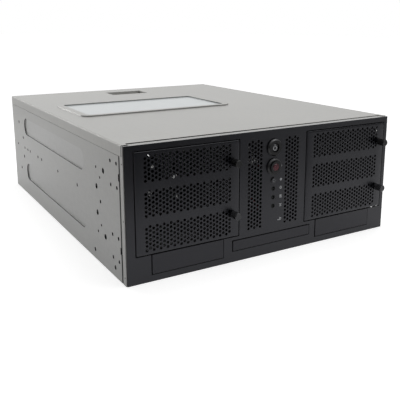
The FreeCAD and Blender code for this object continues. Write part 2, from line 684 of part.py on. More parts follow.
def bay_bracket(label, middle, width, roof, base):
    """Inverted channel with feet on the floor and drive ledges inside."""
    bracket = body(label, x=middle, y=f"{FRONT} + cage_front", z="steel_gauge")
    half = f"({width} / 2 + bracket_side)"
    gauge = "steel_gauge"
    right = [(f"{half} + bracket_foot", "0"), (f"{half} + bracket_foot", gauge),
             (half, gauge), (half, f"{roof} - {gauge}")]
    inner = [(f"{half} - {gauge}", f"{roof} - 2 * {gauge}"), (f"{half} - {gauge}", "0")]
    left = [(f"-({x})", z) for x, z in reversed(right)]
    inner_left = [(f"-({x})", z) for x, z in reversed(inner)]
    profile = outline(sketch(bracket, "XZ"), right + left + inner_left + inner)
    pad(bracket, profile, "bracket_length", flip=True)
    ledge = sketch(bracket, "XZ", "-bracket_length / 2 - ledge_length / 2")
    for start in (f"-({half} - {gauge})", f"{half} - {gauge} - ledge_reach"):
        rectangle(ledge, start, f"{base} - 2 * {gauge}", "ledge_reach", gauge)
    pad(bracket, ledge, "ledge_length", flip=False)


def drive_cage(side):
    """Sheet cage for three half-height drives, open at the front and the rear."""
    cage = body(f"{side}_drive_cage", x=f"{DOOR_MIDDLE[side]}", y=f"{FRONT} + cage_front",
                z="door_bottom + 0.2")
    height = "(3 * bay_pitch + 2 * cage_gauge)"
    ring = sketch(cage, "XZ")
    rectangle(ring, "-cage_width / 2", "0", "cage_width", height)
    rectangle(ring, "-cage_width / 2 + cage_gauge", "cage_gauge",
              "cage_width - 2 * cage_gauge", f"{height} - 2 * cage_gauge")
    pad(cage, ring, "cage_length", flip=True)
    ledges = sketch(cage, "XZ", "-cage_length / 2 + ledge_length / 2")
    for x in ("-cage_width / 2 + cage_gauge", "cage_width / 2 - cage_gauge - ledge_reach"):
        for level in (1, 2):
            rectangle(ledges, x, f"{level} * bay_pitch + cage_gauge - 1", "ledge_reach",
                      "cage_gauge")
    pad(cage, ledges, "ledge_length", flip=True)
    slots = sketch(cage, "YZ")
    for y in ("cage_slot_front", "cage_slot_back"):
        rectangle(slots, y, "cage_gauge + cage_slot_rise", "cage_slot_length",
                  "cage_slot_height")
    row = pocket(cage, slots, both=True)
    row_pattern(cage, row, "Z", "bay_pitch", "3")


# ---------------------------------------------------------------- control column
def switch_body(label, height, cap, bezel=()):
    """Collar in front of the plate, threaded barrel through it, nut behind."""
    switch = body(label, x="column_shift", y=FRONT, z=height)
    start = bezel or [(f"{cap} + cap_fit", "-collar_reach")]
    edge = list(start) + [
        ("collar_radius - collar_bevel", "-collar_reach"),
        ("collar_radius", "-collar_reach + collar_bevel"), ("collar_radius", "0"),
        ("barrel_radius", "0"), ("barrel_radius", "barrel_length"), ("0", "barrel_length"),
        ("0", "cap_length + cap_seat"), (f"{cap} + cap_fit", "cap_length + cap_seat"),
    ]
    revolve(switch, outline(sketch(switch, "XY"), edge), "V_Axis")
    nut = hexagon(sketch(switch, "XZ", "-plate_gauge"), "0", "0", "nut_across * 2 / sqrt(3)")
    circle(nut, "0", "0", "barrel_radius - 0.5")
    pad(switch, nut, "nut_height", flip=True)


def switch_cap(label, height, cap, reach):
    button = body(label, x="column_shift", y=FRONT, z=height)
    edge = [("0", f"-{reach}"), (f"{cap} - cap_bevel", f"-{reach}"),
            (cap, f"-{reach} + cap_bevel"), (cap, f"cap_length - {reach}"),
            ("0", f"cap_length - {reach}")]
    revolve(button, outline(sketch(button, "XY"), edge), "V_Axis")


def control_board():
    """Board on two posts behind the plate, with the third button's switch and a header."""
    back = f"({FRONT} + board_back)"
    left = "(column_shift - board_width / 2)"
    plate = box("board_plate", (left, back, "board_base"),
                ("board_width", "board_gauge", "board_height"))
    tact = box("tact", ("column_shift - tact_side / 2", f"{back} - tact_height",
                        "small_height - tact_side / 2"),
               ("tact_side", "tact_height", "tact_side"))
    header = box("header", (f"{left} + 1", f"{back} - header_depth", "board_base + header_lift"),
                 ("header_width", "header_depth", "header_height"))
    node(fuse("control_board", plate, tact, header), "control_board")
    posts = []
    for z in ("board_base + post_inset", "board_base + board_height - post_inset"):
        posts.append(rod("post", ("column_shift + board_width / 2 - post_inset", PLATE_BACK, z),
                         "post_radius", "board_back - plate_gauge", "y"))
    pair = doc.addObject("Part::Compound", "board_posts")
    pair.Links = posts
    node(pair, "board_posts")


def small_button():
    button = body("small_button", x="column_shift", y=FRONT, z="small_height")
    edge = [("0", "-small_reach"), ("small_radius - 0.6", "-small_reach"),
            ("small_radius", "-small_reach + 0.6"), ("small_radius", "stem_start"),
            ("stem_radius", "stem_start"),
            ("stem_radius", "board_back - tact_height - stem_gap"),
            ("0", "board_back - tact_height - stem_gap")]
    revolve(button, outline(sketch(button, "XY"), edge), "V_Axis")


def status_lamps():
    for index in range(3):
        lamp = body(f"status_lamp_{index + 1}", x="column_shift", y=FRONT,
                    z=f"lamp_height - {index} * lamp_pitch")
        edge = [("0", "lamp_sink - 0.8"), ("lamp_radius * 0.7", "lamp_sink - 0.4"),
                ("lamp_radius", "lamp_sink + 0.6"), ("lamp_radius", "board_back"),
                ("0", "board_back")]
        revolve(lamp, outline(sketch(lamp, "XY"), edge), "V_Axis")


def bent_tube(label, route, radius):
    """Lead along straight runs joined by tangent arcs, in an eight-sided section; prints
    each bend radius."""
    points = [Vector(*point) for point in route]
    edges = []
    last = points[0]
    length = 0
    for before, corner, after in zip(points, points[1:], points[2:]):
        come = (corner - before).normalize()
        leave = (after - corner).normalize()
        turn = come.getAngle(leave)
        run = 0.45 * min((corner - before).Length, (after - corner).Length)
        bend = run / math.tan(turn / 2)
        print(f"{label} bend radius {bend:.1f}")
        start = corner - come * run
        end = corner + leave * run
        inward = (leave - come).normalize()
        centre = corner + inward * (bend / math.cos(turn / 2))
        middle = centre - inward * bend
        edges.append(Part.LineSegment(last, start).toShape())
        edges.append(Part.Arc(start, middle, end).toShape())
        length += (start - last).Length + bend * turn
        last = end
    edges.append(Part.LineSegment(last, points[-1]).toShape())
    length += (points[-1] - last).Length
    path = Part.Wire(edges)
    ring = Part.Circle(points[0], (points[1] - points[0]).normalize(), radius).toShape()
    section = Part.makePolygon(ring.discretize(9))
    tube = path.makePipeShell([section], True, False, 2)
    expected = Part.Face(section).Area * length
    print(f"{label} volume {tube.Volume:.1f} of {expected:.1f}")
    item = doc.addObject("Part::Feature", label)
    item.Shape = tube
    return node(item, label)


def size(name):
    return sheet.get(name)


def leads():
    """Leads held at both ends: reset switch to board header, power switch to its plug."""
    front = -size("case_depth") / 2
    shift = size("column_shift")
    tail = front + size("barrel_length")
    header_x = shift - size("board_width") / 2 + 1 + size("header_width") / 2
    header_y = front + size("board_back") - size("header_depth")
    header_top = size("board_base") + size("header_lift") + size("header_height")
    reset = size("reset_height")
    power = size("power_height")
    radius = size("lead_radius")
    bent_tube("white_lead", [
        (shift - 3, tail, reset - 2), (shift - 3, tail + 10, reset - 2),
        (shift - 8, tail + 15, reset - 12), (shift - 20, tail + 4, reset - 26),
        (shift - 30, tail - 9, reset - 41), (shift - 27, tail - 10, reset - 54),
        (header_x - 2, header_y + 3, header_top + 10), (header_x - 2, header_y + 3, header_top),
    ], radius)
    bent_tube("red_lead", [
        (shift + 1, tail, reset - 4), (shift + 1, tail + 10, reset - 4),
        (shift - 5, tail + 14, reset - 14), (shift - 20, tail + 5, reset - 30),
        (shift - 27, tail - 6, reset - 43), (shift - 17, tail - 3, reset - 50),
        (header_x + 2, header_y + 3, header_top + 8), (header_x + 2, header_y + 3, header_top),
    ], radius)
    plug_x = shift - size("strip_reach")
    plug_y = size("plate_gauge") + front + size("plug_back")
    plug_top = size("reset_height") + size("plug_lift")
    bent_tube("power_lead", [
        (shift - 3, tail, power), (shift - 3, tail + 10, power),
        (shift - 9, tail + 17, power + 1), (shift - 20, tail + 16, power + 4),
        (plug_x, tail + 5, power + 6), (plug_x + 1, tail - 5, power + 2),
        (plug_x, plug_y, plug_top + 7), (plug_x, plug_y, plug_top),
    ], radius)
    width = size("plug_width")
    deep = size("plug_depth")
    tall = size("plug_height")
    low = plug_top - tall
    back = size("plug_back")
    clip = Part.makeBox(width - 4, back - deep / 2, tall - 2,
                        Vector(plug_x - width / 2 + 2, plug_y - back, low + 1))
    shell = Part.makeBox(width, deep, tall, Vector(plug_x - width / 2, plug_y - deep / 2, low))
    item = doc.addObject("Part::Feature", "lead_plug")
    item.Shape = shell.fuse(clip).removeSplitter()
    node(item, "lead_plug")


# ---------------------------------------------------------------- fans
def fan_frame(label, x, back, z, side):
    """Square fan housing with a round duct, corner holes, hub and four struts."""
    frame = body(label, x=x, y=back, z=z)
    square = rounded(sketch(frame, "XZ"), f"-{side} / 2", f"-{side} / 2", side, side, "fan_round")
    pad(frame, square, "fan_depth", flip=True)
    duct = circle(sketch(frame, "XZ"), "0", "0", f"{side} / 2 - fan_wall / 2")
    pocket(frame, duct, both=True)
    ear = circle(sketch(frame, "XZ"), f"{side} * 0.4375", f"{side} * 0.4375", "fan_hole")
    hole = pocket(frame, ear, both=True)
    ring_pattern(frame, hole, "Y", 4)
    hub = circle(sketch(frame, "XZ", "-fan_depth + hub_back"), "0", "0",
                 f"hub_share * {side} / 2 + 1")
    pad(frame, hub, "hub_back", flip=True)
    arm = rectangle(sketch(frame, "XZ", "-fan_depth + hub_back"), f"hub_share * {side} / 2 - 1",
                    "-strut_width / 2",
                    f"{side} / 2 - fan_wall / 2 - hub_share * {side} / 2 + 1.6", "strut_width")
    strut = pad(frame, arm, "strut_gauge", flip=True)
    ring_pattern(frame, strut, "Y", 4)
    post = circle(sketch(frame, "XZ", "-fan_depth + hub_back"), "0", "0", "axle_radius")
    pad(frame, post, "axle_length")


def fan_rotor(label, x, back, z, side, blades):
    """Hub cup and skewed blades, turning on the frame's post."""
    rotor = body(label, x=x, y=back, z=z)
    cup = sketch(rotor, "XY")
    hub = f"hub_share * {side} / 2"
    floor = "fan_depth - hub_back - fan_fit"
    cavity = "fan_depth - hub_back - axle_length - 0.4"
    outline(cup, [
        ("0", "1"), (f"{hub} - 1.5", "1"), (hub, "2.5"), (hub, floor),
        ("axle_radius + axle_fit", floor), ("axle_radius + axle_fit", cavity), ("0", cavity),
    ])
    revolve(rotor, cup, "V_Axis")
    tip = f"({side} / 2 - fan_wall / 2 - fan_fit)"
    drawing = sketch(rotor, "YZ", f"{hub} - 1")
    lean = f"({side} * 0.13)"
    outline(drawing, [
        ("3", f"-{lean} - blade_gauge"), (f"{floor} - 1", f"{lean} - blade_gauge"),
        (f"{floor} - 1", lean), ("3", f"-{lean}"),
    ])
    blade = pad(rotor, drawing, f"sqrt({tip} ^ 2 - ({lean} + blade_gauge) ^ 2) - {hub} + 1")
    ring_pattern(rotor, blade, "Y", blades)


FAN_SPOTS = {"left": "-fan_spacing", "middle": "0", "right": "fan_spacing"}


def fan_wall():
    """Cross wall behind the drive cages with three ducts; fans bolt to its rear face."""
    wall = body("fan_bulkhead", y=f"{FRONT} + wall_back")
    half = "(case_width / 2 - steel_gauge - press_depth - steel_gauge - move_gap)"
    face = rectangle(sketch(wall, "XZ"), f"-{half}", "steel_gauge", f"2 * {half}",
                     "wall_height")
    pad(wall, face, "steel_gauge", flip=True)
    ducts = sketch(wall, "XZ")
    for x in FAN_SPOTS.values():
        circle(ducts, x, "fan_height", "front_fan / 2 - fan_wall / 2")
    pocket(wall, ducts, both=True)
    foot = rectangle(sketch(wall, "XY", "steel_gauge"), f"-{half}", "-12", f"2 * {half}", "13")
    pad(wall, foot, "steel_gauge")
    rim = rectangle(sketch(wall, "XY", "steel_gauge + wall_height"), f"-{half}", "-12",
                    f"2 * {half}", "13.2")
    pad(wall, rim, "steel_gauge", flip=True)
    back = f"({FRONT} + wall_back + steel_gauge)"
    for name, x in FAN_SPOTS.items():
        fan_frame(f"{name}_fan_frame", x, back, "fan_height", "front_fan")
        fan_rotor(f"{name}_fan_rotor", x, back, "fan_height", "front_fan", 7)


def rear_fans():
    back = f"({REAR} - cover_gauge - move_gap - steel_gauge - fan_depth)"
    for index, name in enumerate(("inner", "outer")):
        x = f"rear_fan_first + {index} * rear_fan_step"
        fan_frame(f"rear_{name}_fan_frame", x, back, "rear_fan_height", "rear_fan")
        fan_rotor(f"rear_{name}_fan_rotor", x, back, "rear_fan_height", "rear_fan", 7)


# ---------------------------------------------------------------- inside
def standoffs():
    """Hexagonal posts on the floor for the main board, three columns by three rows."""
    rear = f"{REAR} - board_rear - 6.35"
    columns = ("0", "-board_column", "-board_column - board_column_far")
    rows = ("0", "-board_row", "-board_row - board_row_far")
    posts = []
    for along in columns:
        for across in rows:
            post = doc.addObject("Part::Prism", "standoff")
            post.Polygon = 6
            bind(post, Circumradius="standoff_across / sqrt(3)", Height="standoff_height")
            place(post, f"board_right - 10.16 + {across}", f"{rear} + {along}", "steel_gauge")
            posts.append(post)
    group = doc.addObject("Part::Compound", "standoffs")
    group.Links = posts
    node(group, "standoffs")


def psu_shelf():
    """Bent shelf that carries the power supply upright beside the right wall."""
    x = "(case_width / 2 - psu_edge - psu_width)"
    y = f"({REAR} - cover_gauge - move_gap - steel_gauge - psu_length)"
    top = box("shelf_top", (x, y, "psu_base - steel_gauge"),
              ("psu_width", "psu_length", "steel_gauge"))
    legs = []
    for start in (x, f"{x} + psu_width - steel_gauge"):
        legs.append(box("shelf_leg", (start, y, "steel_gauge"),
                        ("steel_gauge", "psu_length", "psu_base - 2 * steel_gauge")))
    node(fuse("psu_shelf", top, *legs), "psu_shelf")


def card_bar():
    """Bar across the case above the cards, its ends bent down against the side walls."""
    half = "(case_width / 2 - cover_gauge - move_gap - steel_gauge)"
    y = f"({REAR} - bar_back)"
    bar = box("bar_web", (f"-{half}", y, "bar_base"), (f"2 * {half}", "bar_width", "steel_gauge"))
    rib = box("bar_rib", (f"-{half}", y, "bar_base"), (f"2 * {half}", "steel_gauge", "bar_height"))
    ends = []
    for start in (f"-{half}", f"{half} - steel_gauge"):
        ends.append(box("bar_end", (start, y, "bar_base"),
                        ("steel_gauge", "2.2 * bar_width", "bar_height + 6")))
    node(fuse("card_bar", bar, rib, *ends), "card_bar")


# ---------------------------------------------------------------- cover
def top_cover():
    """Lid with side and rear flanges, raised pressed rim and a finger grip."""
    cover = body("top_cover", y=FRONT)
    half = "case_width / 2"
    low = "case_height - flange_height + move_gap"
    wrap = sketch(cover, "XZ", "-tab_front")
    rounded(wrap, f"-{half}", "0", "case_width", "case_height", "cover_round")
    rounded(wrap, f"-{half} + cover_gauge", "cover_gauge", "case_width - 2 * cover_gauge",
            "case_height - 2 * cover_gauge", "cover_round - cover_gauge")
    pad(cover, wrap, "case_depth - tab_front", flip=True)
    below = rectangle(sketch(cover, "XZ"), f"-{half} - 1", "-1", "case_width + 2", f"{low} + 1")
    pocket(cover, below, both=True)
    between = rectangle(sketch(cover, "XY", low), f"-{half} + corner_tab", "0",
                        "case_width - 2 * corner_tab", "cover_front")
    pocket(cover, between, "flange_height", flip=True)
    tail = rectangle(sketch(cover, "XZ", "-case_depth + cover_gauge"), f"-{half} + cover_gauge / 2",
                     low, "case_width - cover_gauge", "case_height - cover_gauge / 2 - (" + low + ")")
    pad(cover, tail, "cover_gauge", flip=True)

    def rim(item, inset):
        rounded(item, f"-{half} + rim_left + {inset}", f"rim_front + {inset}",
                f"rim_width - 2 * {inset}", f"rim_depth - 2 * {inset}", f"rim_round - {inset}")

    bead = sketch(cover, "XY", "case_height")
    rim(bead, "0")
    rim(bead, "rim_band")
    pad(cover, bead, "rim_height", taper=-20)
    hollow = sketch(cover, "XY", "case_height - cover_gauge")
    rim(hollow, "(cover_gauge)")
    rim(hollow, "(rim_band - cover_gauge)")
    pocket(cover, hollow, "rim_height", flip=True)

    grip_back = "(case_depth - grip_rear)"

    def grip(sink, grow, width, kind):
        item = sketch(cover, "YZ", "grip_shift")
        outline(item, [
            (f"{grip_back} - grip_length - {grow}", sink), (f"{grip_back} + {grow}", sink),
            (f"{grip_back} + {grow}", f"case_height - grip_depth - {grow}"),
            (f"{grip_back} - 3 - {grow}", f"case_height - grip_depth - {grow}"),
        ])
        kind(cover, item, width, both=True)

    grip("case_height - cover_gauge", "cover_gauge", "grip_width + 2 * cover_gauge", pad)
    grip("case_height", "0", "grip_width", pocket)
    notches = sketch(cover, "XZ", "-case_depth - 1")
    for sign in ("-", ""):
        rectangle(notches, f"{sign}cover_screw_x - shank_radius - 0.6",
                  f"{low} - 1", "2 * shank_radius + 1.2",
                  "flange_height - cover_screw_drop + shank_radius + 2")
    pocket(cover, notches, "cover_gauge + 2", flip=True)

    film = body("cover_film", y=FRONT)
    inset = "(rim_band + film_gap)"
    label = rounded(sketch(film, "XY", "case_height"), f"-{half} + rim_left + {inset}",
                    f"rim_front + {inset}", f"rim_width - 2 * {inset}",
                    f"rim_depth - 2 * {inset}", "rim_round - rim_band - film_gap")
    pad(film, label, "film_gauge")


# ---------------------------------------------------------------- assembly
chassis_tray()
rear_panel()
slot_covers()
front_frame()
frame_ties()
front_plate()
for door_side in SIDES:
    front_door(door_side)
    hinge_rail(door_side)
    catch_rail(door_side)
    for level, lift in (("lower", "screw_low"), ("upper", "screw_high")):
        thumbscrew(f"{door_side}_{level}_screw",
                   f"{DOOR_LEFT[door_side]} + door_width - screw_inset",
                   DOOR_FACE, f"door_bottom + {lift}", "knob_length", "shank_reach",
                   "door_gauge + move_gap")
    drive_cage(door_side)
    bay_bracket(f"{door_side}_bay_bracket", BAY_MIDDLE[door_side], "bay_width",
                "door_bottom + 0.2", "bay_base")
    bay_cover(f"{door_side}_bay_cover", BAY_MIDDLE[door_side], "bay_base", "bay_width",
              "bay_height")
bay_bracket("slim_bay_bracket", "column_shift", "slim_width", "slim_base + slim_height + 2",
            "slim_base")
bay_cover("slim_bay_cover", "column_shift", "slim_base", "slim_width", "slim_height")
switch_body("power_switch", "power_height", "cap_radius")
switch_cap("power_button", "power_height", "cap_radius", "power_reach")
switch_body("reset_switch", "reset_height", "reset_radius", [
    ("reset_radius + cap_fit", "-bezel_reach"), ("bezel_radius", "-bezel_reach"),
    ("bezel_radius", "-collar_reach")])
switch_cap("reset_button", "reset_height", "reset_radius", "reset_reach")
small_button()
status_lamps()
control_board()
leads()
fan_wall()
rear_fans()
standoffs()
psu_shelf()
card_bar()
top_cover()
for screw_side, screw_x in (("left", "-cover_screw_x"), ("right", "cover_screw_x")):
    thumbscrew(f"{screw_side}_cover_screw", screw_x, REAR, "case_height - cover_screw_drop",
               "cover_knob_length", "cover_shank", facing="rear")

doc.recompute()
failed = [item.Name for item in doc.Objects if {"Invalid", "Error"} & set(item.State)]
if failed:
    raise RuntimeError(f"did not build: {failed}")
broken = [item.Label for item in nodes if item.Shape.isNull() or not item.Shape.isValid()]
if broken:
    raise RuntimeError(f"no valid shape: {broken}")
for item in nodes:
    item.Shape.exportStep(f"parts/{item.Label}.step")
print(f"{len(nodes)} pieces")
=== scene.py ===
# %% [markdown]
# # An empty rackmount server case, four units high
#
# The shape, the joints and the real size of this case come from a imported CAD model. This lesson
# dresses that model: it gives each sheet, knob and fan its finish, and it models the fine work
# that a CAD model leaves out, such as the punched doors, the symbols beside the lamps and the
# wire guards over the rear fans. Every length is in metres.

# %% Load the frame
import math

import bmesh
import bpy
from mathutils import Matrix, Vector


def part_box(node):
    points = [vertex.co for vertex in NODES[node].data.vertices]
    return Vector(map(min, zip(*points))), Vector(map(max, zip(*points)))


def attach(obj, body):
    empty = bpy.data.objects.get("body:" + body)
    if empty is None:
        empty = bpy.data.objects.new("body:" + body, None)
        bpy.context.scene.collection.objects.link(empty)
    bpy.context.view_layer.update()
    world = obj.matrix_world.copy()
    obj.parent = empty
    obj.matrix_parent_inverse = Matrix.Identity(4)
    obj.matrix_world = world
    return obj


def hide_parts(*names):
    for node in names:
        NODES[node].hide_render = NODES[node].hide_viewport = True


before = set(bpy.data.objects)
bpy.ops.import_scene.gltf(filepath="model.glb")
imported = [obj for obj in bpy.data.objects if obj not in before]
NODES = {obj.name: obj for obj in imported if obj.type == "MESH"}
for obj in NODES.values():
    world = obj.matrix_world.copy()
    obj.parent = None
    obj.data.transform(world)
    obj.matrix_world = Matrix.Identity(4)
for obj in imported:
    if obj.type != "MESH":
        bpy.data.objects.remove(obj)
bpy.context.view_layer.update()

# %% [markdown]
# ## Camera
#
# The camera looks down a little on the case's left front corner from about a metre away, so the
# edges that run back draw together. A small shift sets how high the case stands in the frame.

# %% Place the camera
MM = 0.001
LENS = 53.02
EYE = Vector((-469.4, -890.6, 313.8)) * MM
AIM = Vector((46.5, 0.0, 90.1)) * MM
ROLL = math.radians(-0.2)
SHIFT_UP = -0.125

camera = bpy.data.objects.new("camera", bpy.data.cameras.new("camera"))
bpy.context.scene.collection.objects.link(camera)
camera.location = EYE
turn = (AIM - EYE).to_track_quat("-Z", "Y").to_matrix().to_4x4()
camera.rotation_euler = (turn @ Matrix.Rotation(ROLL, 4, "Z")).to_euler()
camera.data.lens = LENS
camera.data.sensor_width = 36.0
camera.data.shift_y = SHIFT_UP
camera.data.clip_start = 0.01
bpy.context.scene.camera = camera
print("camera to case:", round((AIM - EYE).length, 3), "m")

# %% [markdown]
# ## Shader maths
#
# Node trees are quicker to read as sums. A small class wraps a socket, and adding or multiplying
# two wrapped sockets adds the matching Math node. Colours go through Mix nodes.


# %% A wrapped socket
class Wire:
    """A socket that can be added, multiplied and taken from a number."""

    def __init__(self, finish, socket):
        self.finish = finish
        self.socket = socket

    def _maths(self, operation, first, second):
        return self.finish.node("ShaderNodeMath", {"operation": operation}, {0: first, 1: second})

    def __add__(self, other):
        return self._maths("ADD", self, other)

    def __mul__(self, other):
        return self._maths("MULTIPLY", self, other)

    def __rsub__(self, other):
        return self._maths("SUBTRACT", other, self)

    __radd__ = __add__
    __rmul__ = __mul__


# %% A finish is a material with short words for its nodes
COLOUR_SOCKETS = ("Base_Color", "Emission_Color", "Specular_Tint")


class Finish:
    """A material whose surface shader takes numbers, or wires that change over the surface."""

    def __init__(self, name):
        self.material = bpy.data.materials.new(name)
        self.material.use_nodes = True
        self.tree = self.material.node_tree
        self.surface = self.tree.nodes["Principled BSDF"]

    def node(self, kind, settings=None, inputs=None, output=0):
        """Add a node, with its settings first and then the values or wires of its sockets."""
        made = self.tree.nodes.new(kind)
        for name, value in (settings or {}).items():
            setattr(made, name, value)
        for name, value in (inputs or {}).items():
            self.plug(made.inputs[name], value)
        return Wire(self, made.outputs[output])

    def plug(self, socket, value):
        if isinstance(value, Wire):
            self.tree.links.new(value.socket, socket)
        else:
            socket.default_value = value

    def place(self, scale=(1.0, 1.0, 1.0), turn=(0.0, 0.0, 0.0), move=(0.0, 0.0, 0.0)):
        """The point on the object, in metres, stretched and turned for a pattern."""
        point = self.node("ShaderNodeTexCoord", output="Object")
        return self.node("ShaderNodeMapping", None,
                         {"Vector": point, "Scale": scale, "Rotation": turn, "Location": move})

    def noise(self, size, detail=2.0, stretch=(1.0, 1.0, 1.0), rough=0.5):
        """Cloudy noise, 0 to 1, whose blobs are about size metres across."""
        return self.node("ShaderNodeTexNoise", None,
                         {"Vector": self.place(stretch), "Scale": 1.0 / size, "Detail": detail,
                          "Roughness": rough}, output="Fac")

    def parts(self, vector):
        """The x, y and z of a wired vector."""
        return [self.node("ShaderNodeSeparateXYZ", None, {"Vector": vector}, output=axis)
                for axis in "XYZ"]

    def range(self, value, low, high, to_low=0.0, to_high=1.0):
        """A ramp from to_low at low to to_high at high, flat beyond both."""
        return self.node("ShaderNodeMapRange", {"clamp": True},
                         {"Value": value, "From Min": low, "From Max": high,
                          "To Min": to_low, "To Max": to_high}, output="Result")

    def mix(self, share, first, second):
        """The first colour, or the second where the share is 1."""
        made = self.tree.nodes.new("ShaderNodeMix")
        made.data_type = "RGBA"
        for index, value in ((0, share), (6, first), (7, second)):
            if index and not isinstance(value, Wire):
                value = (*value, 1.0)
            self.plug(made.inputs[index], value)
        return Wire(self, made.outputs[2])

    def bump(self, height, depth, strength=1.0, under=None):
        inputs = {"Height": height, "Distance": depth, "Strength": strength}
        if under is not None:
            inputs["Normal"] = under
        return self.node("ShaderNodeBump", None, inputs, output="Normal")

    def set(self, **sockets):
        """Set the shader's sockets by name; a word's underscores stand for spaces."""
        for name, value in sockets.items():
            socket = self.surface.inputs[name.replace("_", " ")]
            if name in COLOUR_SOCKETS and not isinstance(value, Wire):
                value = (*value, 1.0)
            self.plug(socket, value)
        return self.material


print("shader helpers ready")

# %% [markdown]
# ## Finishes
#
# The tray, the lid and the brackets are zinc-coated steel. Its grey is mottled by soft crystal
# patches a few millimetres wide, and rolling leaves faint streaks along the sheet. The front is
# black powder coat, which has a fine grain and a soft sheen. Each finish is made once and given
# to every piece that has it.
#
# Some shade is painted by its place on the case, where the lamps alone leave the steel too plain:
# dark bands beside the seam behind the front frame, a dark line along the lid's lip, black cut
# edges in the sides and in front, and a darker, warmer tone that grows towards the top of the side.
# The seam's gap is real, and the bands make it look wider than it is.

# %% Places of the painted shade, in metres
LID_FACE = 0.1752
SIDE_SKIN = 0.2138
SEAM, LIP = (-0.2642, -0.2594), (-0.2697, -0.2672)
FLANGE = 0.161
# Near black, a painted shadow: in the seam, along the lid's lip and on cut edges.
PAINTED_SHADE_BLACK = (0.012, 0.012, 0.012)
RIM_SHADE = (0.05, 0.05, 0.05)
# Darker and warmer, a painted shade that grows towards the top of the side.
SIDE_TOP_SHADE = (0.2, 0.19, 0.165)
print("painted seam:", round((SEAM[1] - SEAM[0]) / MM, 1), "mm wide")


# %% Painted shade on the sides and on the front edges
def band(f, value, ends, fade_in, fade_out):
    """1 between two ends, with a short ramp just inside each."""
    return (f.range(value, ends[0], ends[0] + fade_in)
            * f.range(value, ends[1], ends[1] - fade_out))


def painted_side(f, colour, facing, place):
    """Paint shade on the side's skin: darker and warmer towards the top, near black at its seam,
    along the lid's lip and on its cut edges.
    """
    across, back, height = place
    skin = f.range(across * across, SIDE_SKIN ** 2 - 1e-5, SIDE_SKIN ** 2)
    # Painted shade: the side's skin turns darker and warmer towards the top.
    colour = f.mix(skin * f.range(height, 0.05, 0.165) * 0.25, colour, SIDE_TOP_SHADE)
    # Painted shade: near-black bands beside the seam and along the lid's lip.
    seam = (band(f, back, SEAM, 0.0003, 0.0003) * f.range(height, FLANGE, FLANGE - 0.001)
            * f.range(height, 0.0, 0.003))
    lip = band(f, back, LIP, 0.0002, 0.0004) * f.range(height, FLANGE, FLANGE + 0.0005)
    colour = f.mix(skin * (seam + lip * 0.85), colour, PAINTED_SHADE_BLACK)
    # Painted shade: the walls of the side's punched holes are near black.
    level = f.range(facing[0] * facing[0], 0.3, 0.2) * f.range(facing[1], -0.995, -0.985)
    punched = skin * level * f.range(height, 0.003, 0.004) * f.range(height, 0.172, 0.171)
    return f.mix(punched, colour, PAINTED_SHADE_BLACK)


def painted_front(f, colour, facing, place):
    """Paint shade on the front of the lid's raised rim, and near black on cut edges that face the
    front.
    """
    across, back, height = place
    steep = f.range(facing[2], 0.85, 0.6) * f.range(height, LID_FACE - 0.0001, LID_FACE)
    colour = f.mix(steep * f.range(back, 0.02, -0.02, 0.0, 0.35), colour, RIM_SHADE)
    # Painted shade: cut edges that face the front are near black, fully on the left and by about a
    # third on the right.
    edge = f.range(facing[1], -0.985, -0.995) * f.range(back, -0.2, -0.21)
    return f.mix(edge * f.range(across, -0.02, 0.1, 1.0, 0.35), colour, PAINTED_SHADE_BLACK)


# %% Zinc-coated sheet steel
def zinc(name, shade, metal=0.2, rough=0.36, streak=(1.0, 0.06, 1.0), side=False, front=False):
    """Mottled zinc, with painted shade on the side's skin or on the front edges if asked."""
    f = Finish(name)
    patches = f.noise(0.007, 3.0)
    streaks = f.noise(0.0022, 2.0, streak)
    clouds = f.noise(0.16, 1.0)
    worn = patches * 0.4 + streaks * 0.25 + clouds * 0.35
    dark = tuple(c * 0.9 for c in shade)
    light = tuple(min(1.0, c * 1.08) for c in shade)
    colour = f.mix(f.range(worn, 0.35, 0.65), dark, light)
    facing = f.parts(f.node("ShaderNodeNewGeometry", output="Normal"))
    place = f.parts(f.place())
    if side:
        colour = painted_side(f, colour, facing, place)
    if front:
        colour = painted_front(f, colour, facing, place)
    return f.set(Base_Color=colour, Metallic=metal,
                 Roughness=f.range(worn, 0.3, 0.7, rough - 0.05, rough + 0.08),
                 Normal=f.bump(streaks * 0.6 + patches * 0.4, 0.00002, 0.3))


SHEET = zinc("zinc_sheet", (0.43, 0.43, 0.42), side=True, front=True)
LID = zinc("lid_sheet", (0.455, 0.452, 0.434), side=True, front=True)
PANEL = zinc("panel_sheet", (0.44, 0.44, 0.43), side=True)
SHADOWED = zinc("shadowed_sheet", (0.015, 0.015, 0.015))
INNER = zinc("inner_sheet", (0.52, 0.525, 0.525), metal=0.25, streak=(0.06, 1.0, 1.0))
print("zinc finishes:", len(bpy.data.materials))


# %% Black powder coat, with a painted highlight on the bends that face up near the top
TOP_BENDS = 0.1662
BEND_HIGHLIGHT = (0.16, 0.16, 0.165)
COOL = (0.93, 0.93, 1.0)


